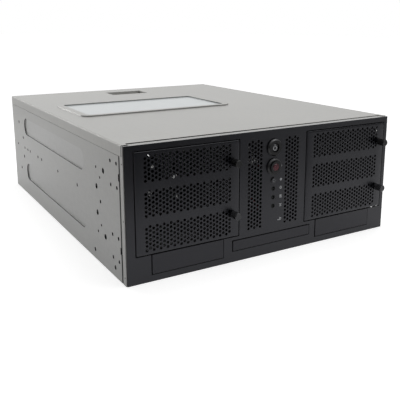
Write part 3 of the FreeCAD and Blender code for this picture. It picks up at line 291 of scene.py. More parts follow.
def powder_coat(name, shade=(0.0063, 0.0066, 0.0092), rough=0.33, grain=0.0007):
    f = Finish(name)
    grains = f.noise(grain, 2.0, rough=0.7)
    clouds = f.noise(0.09, 2.0)
    dark = tuple(c * 0.8 for c in shade)
    light = tuple(c * 1.35 for c in shade)
    colour = f.mix(grains * 0.5 + clouds * 0.5, dark, light)
    upward = f.parts(f.node("ShaderNodeNewGeometry", output="Normal"))[2]
    height = f.parts(f.place())[2]
    # Painted highlight: bends that face up near the top of the plate and doors are paler.
    lit_bends = f.range(upward, 0.2, 0.5) * f.range(height, TOP_BENDS, TOP_BENDS + 0.0003)
    return f.set(Base_Color=f.mix(lit_bends * 0.7, colour, BEND_HIGHLIGHT),
                 Roughness=f.range(grains, 0.3, 0.7, rough - 0.05, rough + 0.07),
                 Specular_IOR_Level=0.5, Specular_Tint=COOL,
                 Normal=f.bump(grains, 0.00006, 0.5))


BLACK = powder_coat("black_powder_coat")
BLACK_INNER = powder_coat("black_rail_coat", rough=0.5)
print("paler above", round(TOP_BENDS / MM, 1), "mm")


# %% Moulded plastics
def moulded(name, shade, rough, grain=0.0009, depth=0.00004, coat=0.0):
    f = Finish(name)
    skin = f.noise(grain, 3.0, rough=0.6)
    flow = f.noise(0.03, 1.0)
    colour = f.mix(flow * 0.6 + skin * 0.4, tuple(c * 0.85 for c in shade),
                   tuple(min(1.0, c * 1.2) for c in shade))
    return f.set(Base_Color=colour, Roughness=f.range(skin, 0.3, 0.7, rough - 0.05, rough + 0.06),
                 Coat_Weight=coat, Coat_Roughness=0.15, Specular_Tint=COOL,
                 Normal=f.bump(skin, depth, 0.4))


BAY_PLASTIC = moulded("bay_cover_plastic", (0.0095, 0.0094, 0.0125), 0.42)
FAN_PLASTIC = moulded("fan_plastic", (0.016, 0.016, 0.017), 0.42)
CAP_PLASTIC = moulded("cap_plastic", (0.008, 0.0085, 0.01), 0.35, coat=0.2)
RED_PLASTIC = moulded("red_cap_plastic", (0.085, 0.005, 0.011), 0.35, coat=0.3)
WHITE_PLASTIC = moulded("white_plastic", (0.92, 0.92, 0.9), 0.4)
RED_WIRE = moulded("red_wire", (0.42, 0.02, 0.02), 0.38)
WHITE_WIRE = moulded("white_wire", (0.88, 0.87, 0.85), 0.4)


# %% Turned and knurled metal
def turned(name, shade, metal, rough, ring=0.0003, rim=None):
    """Fine rings from the lathe; with rim, slopes that face up and to the front get that colour as
    a painted highlight.
    """
    f = Finish(name)
    rings = f.noise(ring, 2.0, (1.0, 1.0, 0.05))
    grain = f.noise(0.0012, 3.0)
    wear = rings * 0.5 + grain * 0.5
    colour = f.mix(wear, tuple(c * 0.75 for c in shade), tuple(min(1.0, c * 1.35) for c in shade))
    if rim:
        facing = f.parts(f.node("ShaderNodeNewGeometry", output="Normal"))
        slope = f.range(facing[2], 0.15, 0.5) * f.range(facing[1], -0.2, -0.4)
        # Painted highlight: the collar's slopes that face up and to the front are paler.
        colour = f.mix(slope, colour, rim)
    return f.set(Base_Color=colour, Metallic=metal,
                 Roughness=f.range(wear, 0.3, 0.7, rough - 0.08, rough + 0.1),
                 Normal=f.bump(wear, 0.00003, 0.5))


KNOB_BLACK = turned("black_knob", (0.014, 0.014, 0.015), 0.2, 0.42)
# The lower screws get a paler copy of the black knob: a painted highlight.
KNOB_BLACK_LIT = turned("black_knob_lit", (0.055, 0.055, 0.06), 0.3, 0.4)
KNOB_STEEL = turned("steel_knob", (0.55, 0.55, 0.54), 0.9, 0.32)
COLLAR_BLACK = turned("collar_black", (0.008, 0.008, 0.009), 0.2, 0.34, rim=(0.09, 0.09, 0.095))
BRASS = turned("brass_post", (0.72, 0.52, 0.22), 0.95, 0.3)
BRIGHT = turned("bright_steel", (0.72, 0.72, 0.72), 0.95, 0.25)


# %% Small finishes: film, lamps, circuit board, printed symbols
def film_finish():
    """Clear protective film over the lid: glossy, a little wavy, with faint creases."""
    f = Finish("lid_film")
    waves = f.noise(0.06, 1.0)
    creases = f.noise(0.02, 1.0, (1.0, 0.3, 1.0))
    colour = f.mix(waves, (0.53, 0.565, 0.575), (0.57, 0.605, 0.615))
    return f.set(Base_Color=colour, Roughness=f.range(creases, 0.3, 0.7, 0.29, 0.31),
                 Coat_Weight=0.35, Coat_Roughness=0.15,
                 Normal=f.bump(waves * 0.8 + creases * 0.2, 0.0001, 0.15))


def board_finish():
    """Green circuit board with pale lines and tinned dots."""
    f = Finish("circuit_board")
    lines = f.node("ShaderNodeTexWave", {"wave_type": "BANDS", "bands_direction": "Z"},
                   {"Vector": f.place(), "Scale": 150.0, "Distortion": 3.0, "Detail": 1.0},
                   output="Fac")
    dots = f.node("ShaderNodeTexVoronoi", {"feature": "DISTANCE_TO_EDGE"},
                  {"Vector": f.place(), "Scale": 320.0}, output="Distance")
    mask = f.range(lines, 0.82, 0.9)
    tin = f.range(dots, 0.34, 0.4)
    green = f.mix(mask, (0.012, 0.075, 0.035), (0.03, 0.15, 0.07))
    return f.set(Base_Color=f.mix(tin, green, (0.55, 0.55, 0.52)), Roughness=0.35,
                 Normal=f.bump(mask, 0.00003, 0.5))


def lamp_finish():
    """Smoked lamp lens, unlit."""
    f = Finish("lamp_lens")
    glow = f.noise(0.002, 1.0)
    return f.set(Base_Color=f.mix(glow, (0.002, 0.003, 0.003), (0.006, 0.009, 0.009)),
                 Roughness=f.range(glow, 0.3, 0.7, 0.3, 0.4), Specular_IOR_Level=0.25)


def ink_finish(name, shade):
    f = Finish(name)
    wear = f.noise(0.0006, 2.0)
    return f.set(Base_Color=f.mix(wear, tuple(c * 0.8 for c in shade), shade),
                 Roughness=f.range(wear, 0.3, 0.7, 0.45, 0.6))


FILM = film_finish()
BOARD = board_finish()
LENS_GLASS = lamp_finish()
WHITE_INK = ink_finish("white_ink", (0.8, 0.82, 0.84))
GREY_INK = ink_finish("grey_ink", (0.3, 0.31, 0.33))
PINK_INK = ink_finish("pink_ink", (0.3, 0.07, 0.09))
print("finishes:", len(bpy.data.materials))

# %% Give each CAD node its finish
FINISHES = {
    "chassis_tray": SHEET, "rear_panel": PANEL, "slot_covers": INNER, "front_frame": PANEL,
    "left_frame_tie": SHADOWED, "right_frame_tie": SHADOWED, "top_cover": LID, "cover_film": FILM,
    "front_plate": BLACK, "left_door": BLACK, "right_door": BLACK, "control_board": BOARD,
    "board_posts": BRASS, "standoffs": BRASS, "fan_bulkhead": INNER, "card_bar": INNER,
    "psu_shelf": INNER, "power_switch": COLLAR_BLACK, "reset_switch": COLLAR_BLACK,
    "power_button": CAP_PLASTIC, "reset_button": RED_PLASTIC, "small_button": CAP_PLASTIC,
    "white_lead": WHITE_WIRE, "power_lead": WHITE_WIRE, "red_lead": RED_WIRE,
    "lead_plug": WHITE_PLASTIC,
}
ENDINGS = {
    "bay_cover": BAY_PLASTIC, "bay_bracket": INNER, "drive_cage": INNER, "hinge_rail": BLACK_INNER,
    "catch_rail": BLACK_INNER, "fan_frame": FAN_PLASTIC, "fan_rotor": FAN_PLASTIC,
    "cover_screw": KNOB_STEEL, "lower_screw": KNOB_BLACK_LIT, "upper_screw": KNOB_BLACK,
}


def finish_of(name):
    if name in FINISHES:
        return FINISHES[name]
    if name.startswith("status_lamp"):
        return LENS_GLASS
    return next(finish for ending, finish in ENDINGS.items() if name.endswith(ending))


for name, item in NODES.items():
    item.data.materials.clear()
    item.data.materials.append(finish_of(name))
print("dressed", len(NODES), "nodes")

# %% [markdown]
# ## Working helpers for new pieces
#
# Each new piece is shaped in a bmesh. One helper turns it into an object that stays at the
# origin, with its place in its mesh, and ties it to the body that it moves with.


# %% From bmesh to piece
CASE = "case"


def finished(name, shape, finish, body=CASE, smooth=None):
    """Make the object, give it its finish, and let it ride on a body."""
    mesh = bpy.data.meshes.new(name)
    shape.to_mesh(mesh)
    shape.free()
    mesh.materials.append(finish)
    piece = bpy.data.objects.new(name, mesh)
    bpy.context.scene.collection.objects.link(piece)
    if smooth is not None:
        mesh.polygons.foreach_set("use_smooth", [True] * len(mesh.polygons))
        mesh.set_sharp_from_angle(angle=math.radians(smooth))
    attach(piece, body)
    return piece


def weld(shape, distance=2e-6):
    bmesh.ops.remove_doubles(shape, verts=shape.verts, dist=distance)


def outward(shape):
    bmesh.ops.recalc_face_normals(shape, faces=shape.faces)


def shift(shape, verts, x=0.0, y=0.0, z=0.0):
    bmesh.ops.translate(shape, verts=verts, vec=(x, y, z))


# %% [markdown]
# ## Punched sheet
#
# The doors breathe through rows of 4 mm round holes, staggered so that three neighbours make an
# even triangle. One cell is a ring of faces from a hole's rim to a rectangle, whose upright sides
# have corners a quarter of a step apart. So the next column can sit half a step lower and still
# weld to it. One column is copied across the field, with every second copy turned upside down.

# %% One column of holes
HOLE_STEP = 5.5 * MM
COLUMN_STEP = HOLE_STEP * math.cos(math.radians(30))
HOLE_RADIUS = 2.0 * MM
HOLE_SIDES = 12
UPRIGHT = Matrix.Rotation(math.radians(90), 4, "X")
TOUCH = 1e-5


def hole_cell(shape):
    """A rectangle of sheet round one hole, standing in the XZ plane at the origin."""
    edges = []
    for radius in (HOLE_RADIUS, HOLE_STEP):
        ring = bmesh.ops.create_circle(shape, segments=HOLE_SIDES, radius=radius, matrix=UPRIGHT)
        edges += list({edge for vert in ring["verts"] for edge in vert.link_edges})
    for vert in ring["verts"]:
        across, up = vert.co.x / HOLE_STEP, vert.co.z / HOLE_STEP
        vert.co.x = 0 if abs(across) < 0.1 else math.copysign(COLUMN_STEP / 2, across)
        vert.co.z = round(2 * up) * HOLE_STEP / 4
    bmesh.ops.bridge_loops(shape, edges=edges)


def hole_column(rows):
    """A column of cells from the ground up, with half a cell of plain sheet above."""
    shape = bmesh.new()
    hole_cell(shape)
    shift(shape, shape.verts, z=HOLE_STEP / 2)
    cell = shape.verts[:] + shape.edges[:] + shape.faces[:]
    for row in range(1, rows):
        copy = bmesh.ops.duplicate(shape, geom=cell)["geom"]
        shift(shape, [v for v in copy if isinstance(v, bmesh.types.BMVert)], z=row * HOLE_STEP)
    weld(shape)
    top = rows * HOLE_STEP
    for step in range(2):
        edges = [e for e in shape.edges if all(abs(v.co.z - top) < TOUCH for v in e.verts)]
        made = bmesh.ops.extrude_edge_only(shape, edges=edges)["geom"]
        shift(shape, [v for v in made if isinstance(v, bmesh.types.BMVert)], z=HOLE_STEP / 4)
        top += HOLE_STEP / 4
    return shape


def punched_field(columns, rows, left, base, front):
    """A field of staggered holes as one flat layer; returns it with its rectangle."""
    column = hole_column(rows)
    height = (rows + 0.5) * HOLE_STEP
    mesh = bpy.data.meshes.new("column")
    column.to_mesh(mesh)
    column.free()
    flip = Matrix.Translation((0, 0, height)) @ Matrix.Rotation(math.pi, 4, "Y")
    field = bmesh.new()
    for index in range(columns):
        first = len(field.verts)
        field.from_mesh(mesh)
        field.verts.ensure_lookup_table()
        fresh = field.verts[first:]
        if index % 2:
            bmesh.ops.transform(field, matrix=flip, verts=fresh)
        shift(field, fresh, left + (index + 0.5) * COLUMN_STEP, front, base)
    bpy.data.meshes.remove(mesh)
    weld(field)
    return field, (left, base, left + columns * COLUMN_STEP, base + height)


def on_rectangle(vert, rect):
    """Whether a corner of the sheet lies on a rectangle's edge."""
    near = [abs(vert.co.x - rect[0]), abs(vert.co.x - rect[2]),
            abs(vert.co.z - rect[1]), abs(vert.co.z - rect[3])]
    inside = (rect[0] - TOUCH < vert.co.x < rect[2] + TOUCH
              and rect[1] - TOUCH < vert.co.z < rect[3] + TOUCH)
    return inside and min(near) < TOUCH


def grow(shape, old, new, back=0.0):
    """Draw the sheet out from one rectangle to the next, which may lie further back."""
    edges = [e for e in shape.edges if e.is_boundary and all(on_rectangle(v, old) for v in e.verts)]
    made = bmesh.ops.extrude_edge_only(shape, edges=edges)["geom"]
    verts = [v for v in made if isinstance(v, bmesh.types.BMVert)]
    for vert in verts:
        for axis, low, high in ((0, 0, 2), (2, 1, 3)):
            for side in (low, high):
                if abs(vert.co[axis] - old[side]) < TOUCH:
                    vert.co[axis] = new[side]
                    break
    shift(shape, verts, y=back)
    return verts


def face_front(shape):
    """Turn a flat layer's faces to the front."""
    outward(shape)
    tilt = sum(face.normal.y * face.calc_area() for face in shape.faces)
    if tilt > 0:
        bmesh.ops.reverse_faces(shape, faces=shape.faces)


print("hole columns are", round(COLUMN_STEP / MM, 2), "mm apart")


# %% Layers get their thickness, and copies of CAD nodes get windows
def worked(shape, **modifiers):
    """Run modifiers on a shape and give the result back as a new shape."""
    mesh = bpy.data.meshes.new("work")
    shape.to_mesh(mesh)
    shape.free()
    holder = bpy.data.objects.new("work", mesh)
    bpy.context.scene.collection.objects.link(holder)
    for kind, settings in modifiers.items():
        made = holder.modifiers.new(kind, kind)
        for name, value in settings.items():
            setattr(made, name, value)
    bpy.context.view_layer.update()
    result = bmesh.new()
    result.from_object(holder, bpy.context.evaluated_depsgraph_get())
    bpy.data.objects.remove(holder)
    bpy.data.meshes.remove(mesh)
    return result


def thickened(shape, gauge):
    """A closed shell whose outer face is the given layer."""
    return worked(shape, SOLIDIFY={"thickness": gauge, "offset": -1.0, "use_even_offset": True})


def join(shape, other):
    """Add a second shape's faces to the first."""
    mesh = bpy.data.meshes.new("join")
    other.to_mesh(mesh)
    other.free()
    shape.from_mesh(mesh)
    bpy.data.meshes.remove(mesh)


def node_copy(name):
    shape = bmesh.new()
    shape.from_mesh(NODES[name].data)
    weld(shape)
    return shape


def cut_window(shape, rect):
    """Cut a rectangle right through a copied plate, and close the cut's rim."""
    for axis, value in ((0, rect[0]), (0, rect[2]), (2, rect[1]), (2, rect[3])):
        normal = Vector([float(index == axis) for index in range(3)])
        bmesh.ops.bisect_plane(shape, geom=shape.verts[:] + shape.edges[:] + shape.faces[:],
                               dist=1e-7, plane_co=normal * value, plane_no=normal)
    inside = []
    for face in shape.faces:
        middle = face.calc_center_median()
        if rect[0] < middle.x < rect[2] and rect[1] < middle.z < rect[3]:
            inside.append(face)
    bmesh.ops.delete(shape, geom=inside, context="FACES")
    rim = [edge for edge in shape.edges if edge.is_boundary]
    bmesh.ops.bridge_loops(shape, edges=rim)


# %% [markdown]
# ## Perforated doors
#
# Each door is a shallow pan folded from one sheet: a punched face, four edges bent back over a
# small radius, and a stub pin at the top and the bottom near the left edge. The face is drawn as
# one layer, with three punched fields that are drawn out until they meet. The outer edge is then
# drawn back round the bend, and the whole layer gets its thickness.

# %% Fold a door
DOOR_WIDTH, DOOR_HEIGHT, DOOR_DEPTH, DOOR_GAUGE = 148 * MM, 129.5 * MM, 10 * MM, 1.0 * MM
DOOR_BEND, BEND_STEPS = 1.3 * MM, 4
FIELD_COLUMNS, FIELD_ROWS, FIELD_COUNT = 26, 6, 3
FIELD_MIDDLE, FIELD_BASE, FIELD_RISE = 73.5 * MM, 3.0 * MM, 43.8 * MM
PIN_RADIUS, PIN_INSET, PIN_BACK, PIN_LENGTH = 1.25 * MM, 6.5 * MM, 4.0 * MM, 5.0 * MM


def folded(shape, rect, bend, depth):
    """Bend a layer's outer edge back round a quarter circle, then straight on."""
    last, last_back = rect, 0.0
    for step in range(1, BEND_STEPS + 1):
        angle = math.radians(90 * step / BEND_STEPS)
        out, back = bend * math.sin(angle), bend * (1 - math.cos(angle))
        new = (rect[0] - out, rect[1] - out, rect[2] + out, rect[3] + out)
        grow(shape, last, new, back - last_back)
        last, last_back = new, back
    grow(shape, last, last, depth - bend)


def cylinder(shape, radius, start, end, sides=16):
    """A closed round bar from one point to another."""
    start, end = Vector(start), Vector(end)
    along = end - start
    matrix = (Matrix.Translation((start + end) / 2)
              @ along.to_track_quat("Z", "Y").to_matrix().to_4x4())
    made = bmesh.ops.create_cone(shape, cap_ends=True, segments=sides, radius1=radius,
                                 radius2=radius, depth=along.length, matrix=matrix)
    return made["verts"]


def perforated_door(side):
    low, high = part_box(f"{side}_door")
    left, front = low.x, low.y
    base = (low.z + high.z - DOOR_HEIGHT) / 2
    inner = (left + DOOR_BEND, base + DOOR_BEND,
             left + DOOR_WIDTH - DOOR_BEND, base + DOOR_HEIGHT - DOOR_BEND)
    field_left = left + FIELD_MIDDLE - FIELD_COLUMNS * COLUMN_STEP / 2
    spare = FIELD_RISE - (FIELD_ROWS + 0.5) * HOLE_STEP
    shape = bmesh.new()
    for index in range(FIELD_COUNT):
        field_base = base + FIELD_BASE + index * FIELD_RISE
        field, rect = punched_field(FIELD_COLUMNS, FIELD_ROWS, field_left, field_base, front)
        below = inner[1] if index == 0 else rect[1] - spare / 2
        above = inner[3] if index == FIELD_COUNT - 1 else rect[3] + spare / 2
        grow(field, rect, (inner[0], below, inner[2], above))
        join(shape, field)
    weld(shape)
    folded(shape, inner, DOOR_BEND, DOOR_DEPTH)
    face_front(shape)
    shape = thickened(shape, DOOR_GAUGE)
    for tip, inwards in ((low.z, PIN_LENGTH), (high.z, -PIN_LENGTH)):
        point = Vector((left + PIN_INSET, front + PIN_BACK, tip))
        cylinder(shape, PIN_RADIUS, point, point + Vector((0, 0, inwards)))
    piece = finished(f"{side}_door_pan", shape, BLACK, f"{side}_door", smooth=35)
    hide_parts(f"{side}_door")
    return piece


doors = [perforated_door(side) for side in ("left", "right")]
print("faces on each door:", [len(door.data.polygons) for door in doors])

# %% [markdown]
# ## Front plate
#
# The plate's outline and its openings come from its CAD node. Two upright strips beside the
# control column are punched like the doors, so a window is cut in a copy of the plate and a
# strip of punched sheet fills it. The copy's two side edges are moved in a little, so that the
# light edge of the frame behind it shows.

# %% Punch the plate's two strips
PLATE_GAUGE = 1.5 * MM
COLUMN_MIDDLE = 2.5 * MM
STRIP_REACH, STRIP_COLUMNS, STRIP_ROWS, STRIP_BASE = 30.5 * MM, 5, 22, 39.5 * MM
STRIP_MARGIN, PLATE_TRIM = 1.0 * MM, 1.2 * MM

plate = node_copy("front_plate")
plate_front, plate_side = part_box("front_plate")[0].y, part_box("front_plate")[1].x
for vert in plate.verts:
    if abs(vert.co.x) > plate_side - TOUCH:
        vert.co.x -= math.copysign(PLATE_TRIM, vert.co.x)
for sign in (-1, 1):
    strip_left = COLUMN_MIDDLE + sign * STRIP_REACH - STRIP_COLUMNS * COLUMN_STEP / 2
    strip, rect = punched_field(STRIP_COLUMNS, STRIP_ROWS, strip_left, STRIP_BASE, plate_front)
    window = (rect[0] - STRIP_MARGIN, rect[1] - STRIP_MARGIN,
              rect[2] + STRIP_MARGIN, rect[3] + STRIP_MARGIN)
    grow(strip, rect, window)
    face_front(strip)
    cut_window(plate, window)
    join(plate, thickened(strip, PLATE_GAUGE))
plate_piece = finished("front_plate_punched", plate, BLACK, CASE)
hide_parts("front_plate")
print("faces on the plate:", len(plate_piece.data.polygons))

# %% [markdown]
# ## Symbols
#
# Small pale symbols are printed beside the lamps and on the caps, and a dark rim stands round each
# lamp. Each symbol is made of arcs, which are short edges spun about a point, and bars, which are
# grids of one face, and gets the thickness of a thick coat of ink. The shapes are generic: dots,
# open rings, a stack of bars, and a ring broken by a bar on the power cap.

# %% Arcs and bars of ink
INK_DEPTH, INK_PROUD = 0.15 * MM, 0.1 * MM
ARC_STEPS = 24


def arc_mark(shape, middle, radius, width, sweep=360.0, start=90.0):
    """A flat ring or arc standing in the XZ plane, from a start angle above the +X side."""
    middle = Vector(middle)
    arm = Matrix.Rotation(math.radians(-start), 3, "Y") @ Vector((1.0, 0.0, 0.0))
    ends = [shape.verts.new(middle + arm * (radius + side * width / 2)) for side in (-1, 1)]
    edge = shape.edges.new(ends)
    bmesh.ops.spin(shape, geom=[*ends, edge], cent=middle, axis=(0.0, 1.0, 0.0),
                   angle=math.radians(sweep), steps=ARC_STEPS, use_merge=sweep == 360.0)


def bar_mark(shape, middle, width, height):
    """An upright rectangle facing the front."""
    size = Matrix.Diagonal((width, height, 1.0, 1.0))
    bmesh.ops.create_grid(shape, x_segments=1, y_segments=1, size=0.5,
                          matrix=Matrix.Translation(middle) @ UPRIGHT @ size)


def printed(name, shape, colour, body=CASE):
    """Give flat marks the thickness of ink, and make them a piece."""
    face_front(shape)
    return finished(name, thickened(shape, INK_DEPTH), colour, body)


def front_middle(name):
    """The middle of a node's front face, a coat of ink in front of it."""
    low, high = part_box(name)
    return Vector(((low.x + high.x) / 2, low.y - INK_PROUD, (low.z + high.z) / 2))


# %% What each symbol is made of
def ink(shape, middle, marks):
    """Draw marks about a symbol's middle; their places and sizes are in millimetres."""
    for draw, across, up, first, second, *angles in marks:
        draw(shape, middle + Vector((across, 0.0, up)) * MM, first * MM, second * MM, *angles)


# An arc has its place across and up, radius, ink width, sweep and start. A bar has its place
# across and up, width and height.
BESIDE = {
    "reset_button": [(arc_mark, 0.0, 0.0, 0.8, 0.8)],
    "small_button": [(arc_mark, 0.0, 0.0, 1.1, 1.3), (bar_mark, 0.0, -2.2, 1.2, 0.6)],
    "status_lamp_1": [(arc_mark, 0.0, 0.0, 1.5, 0.9, 290.0, 55.0), (bar_mark, 0.0, 1.2, 0.7, 2.0)],
    "status_lamp_2": [(bar_mark, 0.0, up, 3.6, 1.1) for up in (-1.5, 0.0, 1.5)],
    "status_lamp_3": [(bar_mark, 0.0, 0.9, 3.4, 1.8), (bar_mark, 0.0, -0.7, 0.8, 1.2),
                      (bar_mark, 0.0, -1.8, 3.8, 0.8)],
}
LOWEST = [(arc_mark, 0.4, 0.6, 1.3, 1.1), (bar_mark, -2.4, -0.8, 3.6, 1.2)]
ON_CAPS = (
    ("power", WHITE_INK, [(arc_mark, 0.0, -0.9, 2.7, 1.1, 300.0, 60.0),
                          (bar_mark, 0.0, 2.6, 1.2, 3.4)]),
    ("reset", PINK_INK, [(arc_mark, 0.0, 0.0, 2.5, 0.9, 280.0, 40.0)]),
    ("small", GREY_INK, [(arc_mark, 0.0, 0.0, 1.9, 0.9, 270.0, 0.0),
                         (bar_mark, 0.6, 0.8, 1.2, 1.2)]),
)
SYMBOL_SHIFT, LOWEST_HEIGHT = 12.6 * MM, 47.3 * MM
RIM_RADIUS, RIM_WIDTH = 2.8 * MM, 0.8 * MM
print("marks beside the column:", sum(len(marks) for marks in BESIDE.values()) + len(LOWEST))

# %% Print them beside the column, on the caps and round the lamps
symbols = bmesh.new()
middle = Vector((COLUMN_MIDDLE + SYMBOL_SHIFT, plate_front - INK_PROUD, 0.0))
for name, marks in BESIDE.items():
    middle.z = front_middle(name).z
    ink(symbols, middle, marks)
middle.z = LOWEST_HEIGHT
ink(symbols, middle, LOWEST)
printed("lamp_symbols", symbols, WHITE_INK)

rims = bmesh.new()
for index in (1, 2, 3):
    height = front_middle(f"status_lamp_{index}").z
    arc_mark(rims, (COLUMN_MIDDLE, plate_front - INK_PROUD, height), RIM_RADIUS, RIM_WIDTH)
printed("lamp_rims", rims, LENS_GLASS)

for name, colour, marks in ON_CAPS:
    symbol = bmesh.new()
    ink(symbol, front_middle(f"{name}_button"), marks)
    printed(f"{name}_symbol", symbol, colour, f"{name}_button")

# %% [markdown]
# ## Wire guards
#
# Each rear fan blows out through a round window behind a guard of bent wire: rings on a cross of
# two spokes, whose ends curl round the fan's four screws. A ring is a small circle spun about the
# fan's axle, and each screw is a rounded head with no slot.

# %% Bend the guards
WIRE_RADIUS, WIRE_SIDES, RING_STEPS = 0.8 * MM, 8, 48
GUARD_RINGS = (8 * MM, 16 * MM, 24 * MM, 32 * MM)
SCREW_REACH, EYE_RADIUS = 35 * MM, 3.4 * MM
KNEE_REACH = GUARD_RINGS[-1] + 4 * MM
HEAD_RADIUS, HEAD_HEIGHT, HEAD_SIDES, EYE_STEPS = 3.0 * MM, 1.9 * MM, 16, 20
RING_STAND, EYE_DROP, SPOKE_DROP, HEAD_STAND = (WIRE_RADIUS * share for share in (3, 2, 1.5, 1.2))


def wire_ring(shape, middle, radius, steps=RING_STEPS):
    """A ring of wire round an axle that points to the rear."""
    middle = Vector(middle)
    start = Matrix.Translation(middle + Vector((radius, 0.0, 0.0)))
    verts = bmesh.ops.create_circle(shape, segments=WIRE_SIDES, radius=WIRE_RADIUS,
                                    matrix=start)["verts"]
    edges = list({edge for vert in verts for edge in vert.link_edges})
    bmesh.ops.spin(shape, geom=verts + edges, cent=middle, axis=(0.0, 1.0, 0.0),
                   angle=math.radians(360), steps=steps, use_merge=True)


def screw_head(shape, middle):
    """A rounded screw head that stands on a face and looks to the rear."""
    middle = Vector(middle)
    profile = ((0.0, 0.0), (1.0, 0.0), (1.0, 0.35), (0.8, 0.8), (0.45, 1.0), (0.0, 1.0))
    verts = [shape.verts.new(middle + Vector((out * HEAD_RADIUS, back * HEAD_HEIGHT, 0.0)))
             for out, back in profile]
    edges = [shape.edges.new(pair) for pair in zip(verts, verts[1:])]
    bmesh.ops.spin(shape, geom=verts + edges, cent=middle, axis=(0.0, 1.0, 0.0),
                   angle=math.radians(360), steps=HEAD_SIDES, use_merge=True)


def fan_guard(name, fan):
    """A guard of rings and spokes over a rear fan, and the four screws that hold it."""
    low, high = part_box(fan)
    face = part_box("rear_panel")[1].y
    middle = Vector(((low.x + high.x) / 2, face + RING_STAND, (low.z + high.z) / 2))
    shape = bmesh.new()
    for radius in GUARD_RINGS:
        wire_ring(shape, middle, radius)
    heads = bmesh.new()
    for side, up in ((-1, -1), (-1, 1), (1, -1), (1, 1)):
        out = Vector((side, 0.0, up)).normalized()
        eye = middle + Vector((side * SCREW_REACH, -EYE_DROP, up * SCREW_REACH))
        knee = middle + out * KNEE_REACH + Vector((0.0, -EYE_DROP, 0.0))
        inner = middle + out * (GUARD_RINGS[0] - WIRE_RADIUS) + Vector((0.0, -SPOKE_DROP, 0.0))
        wire_ring(shape, eye, EYE_RADIUS, EYE_STEPS)
        cylinder(shape, WIRE_RADIUS, inner, knee, WIRE_SIDES)
        cylinder(shape, WIRE_RADIUS, knee, eye - out * EYE_RADIUS, WIRE_SIDES)
        screw_head(heads, (eye.x, face + HEAD_STAND, eye.z))
    weld(shape)
    outward(shape)
    finished(name, shape, BRIGHT, CASE, smooth=50)
    weld(heads)
    outward(heads)
    finished(f"{name}_screws", heads, KNOB_BLACK, CASE, smooth=40)


for place in ("inner", "outer"):
    fan_guard(f"rear_{place}_guard", f"rear_{place}_fan_frame")
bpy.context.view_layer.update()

# %% [markdown]
# ## Black cage sheets, a painted shadow
#
# These two sheets are invented: a real case may have none. They are a painted shadow, black sheets
# put where the inside of the case is in shade. Without them the white room shows through the right
# door, by way of the holes in the side and the slots in the drive cage. Each is a thin black grid
# that stands beside the cage's outer wall and covers its slots, and gets its thickness last.

# %% Lay the black sheets on the cages
SHADE_SHEET_GAUGE, SHADE_SHEET_INSET, SHADE_SHEET_STEPS = 0.3 * MM, 4.0 * MM, 6


def cage_shade_sheet(side, sign):
    """A black sheet beside a cage's outer wall; sign is the wall's way out along X."""
    low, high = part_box(f"{side}_drive_cage")
    wall = low.x if sign < 0 else high.x
    middle = (low + high) / 2
    length = high.y - low.y - 2 * SHADE_SHEET_INSET
    height = high.z - low.z - 2 * SHADE_SHEET_INSET
    shape = bmesh.new()
    size = Matrix.Diagonal((length, height, 1.0, 1.0))
    place = Matrix.Translation((wall + sign * SHADE_SHEET_GAUGE, middle.y, middle.z))
    sideways = Matrix.Rotation(math.radians(90), 4, "Z") @ UPRIGHT
    bmesh.ops.create_grid(shape, x_segments=SHADE_SHEET_STEPS, y_segments=SHADE_SHEET_STEPS, size=0.5,
                          matrix=place @ sideways @ size)
    outward(shape)
    if sum(face.normal.x for face in shape.faces) * sign < 0:
        bmesh.ops.reverse_faces(shape, faces=shape.faces)
    finished(f"{side}_cage_shade_sheet", thickened(shape, SHADE_SHEET_GAUGE), BLACK_INNER, CASE)


cage_shade_sheet("left", -1)
cage_shade_sheet("right", 1)
print("liner thickness:", round(SHADE_SHEET_GAUGE / MM, 1), "mm")

# %% [markdown]
# ## Stage and light
#
# Two soft lamps show the sheet metal on a pale floor: a broad one overhead, and a small weak one
# behind on the left. The camera sees white all round, and the world is dim as a light, so that
# shades render about as they are written.
#
# Reflections see another room than the camera does. It is white behind the case and dim in front
# of it, and the floor ends a short way in front, apart from a wing on the right that reflections
# see dimmed. That keeps the black front dark and the side grey.

# %% The floor
TABLE_EDGE, FLOOR_REACH = -0.61, 8.0
WING_LEFT, WING_REACH, WING_DIM = 0.36, 1.5, 0.65
NEAR_GLOW, FAR_GLOW, CAMERA_GLOW = 0.56, 0.85, 0.14


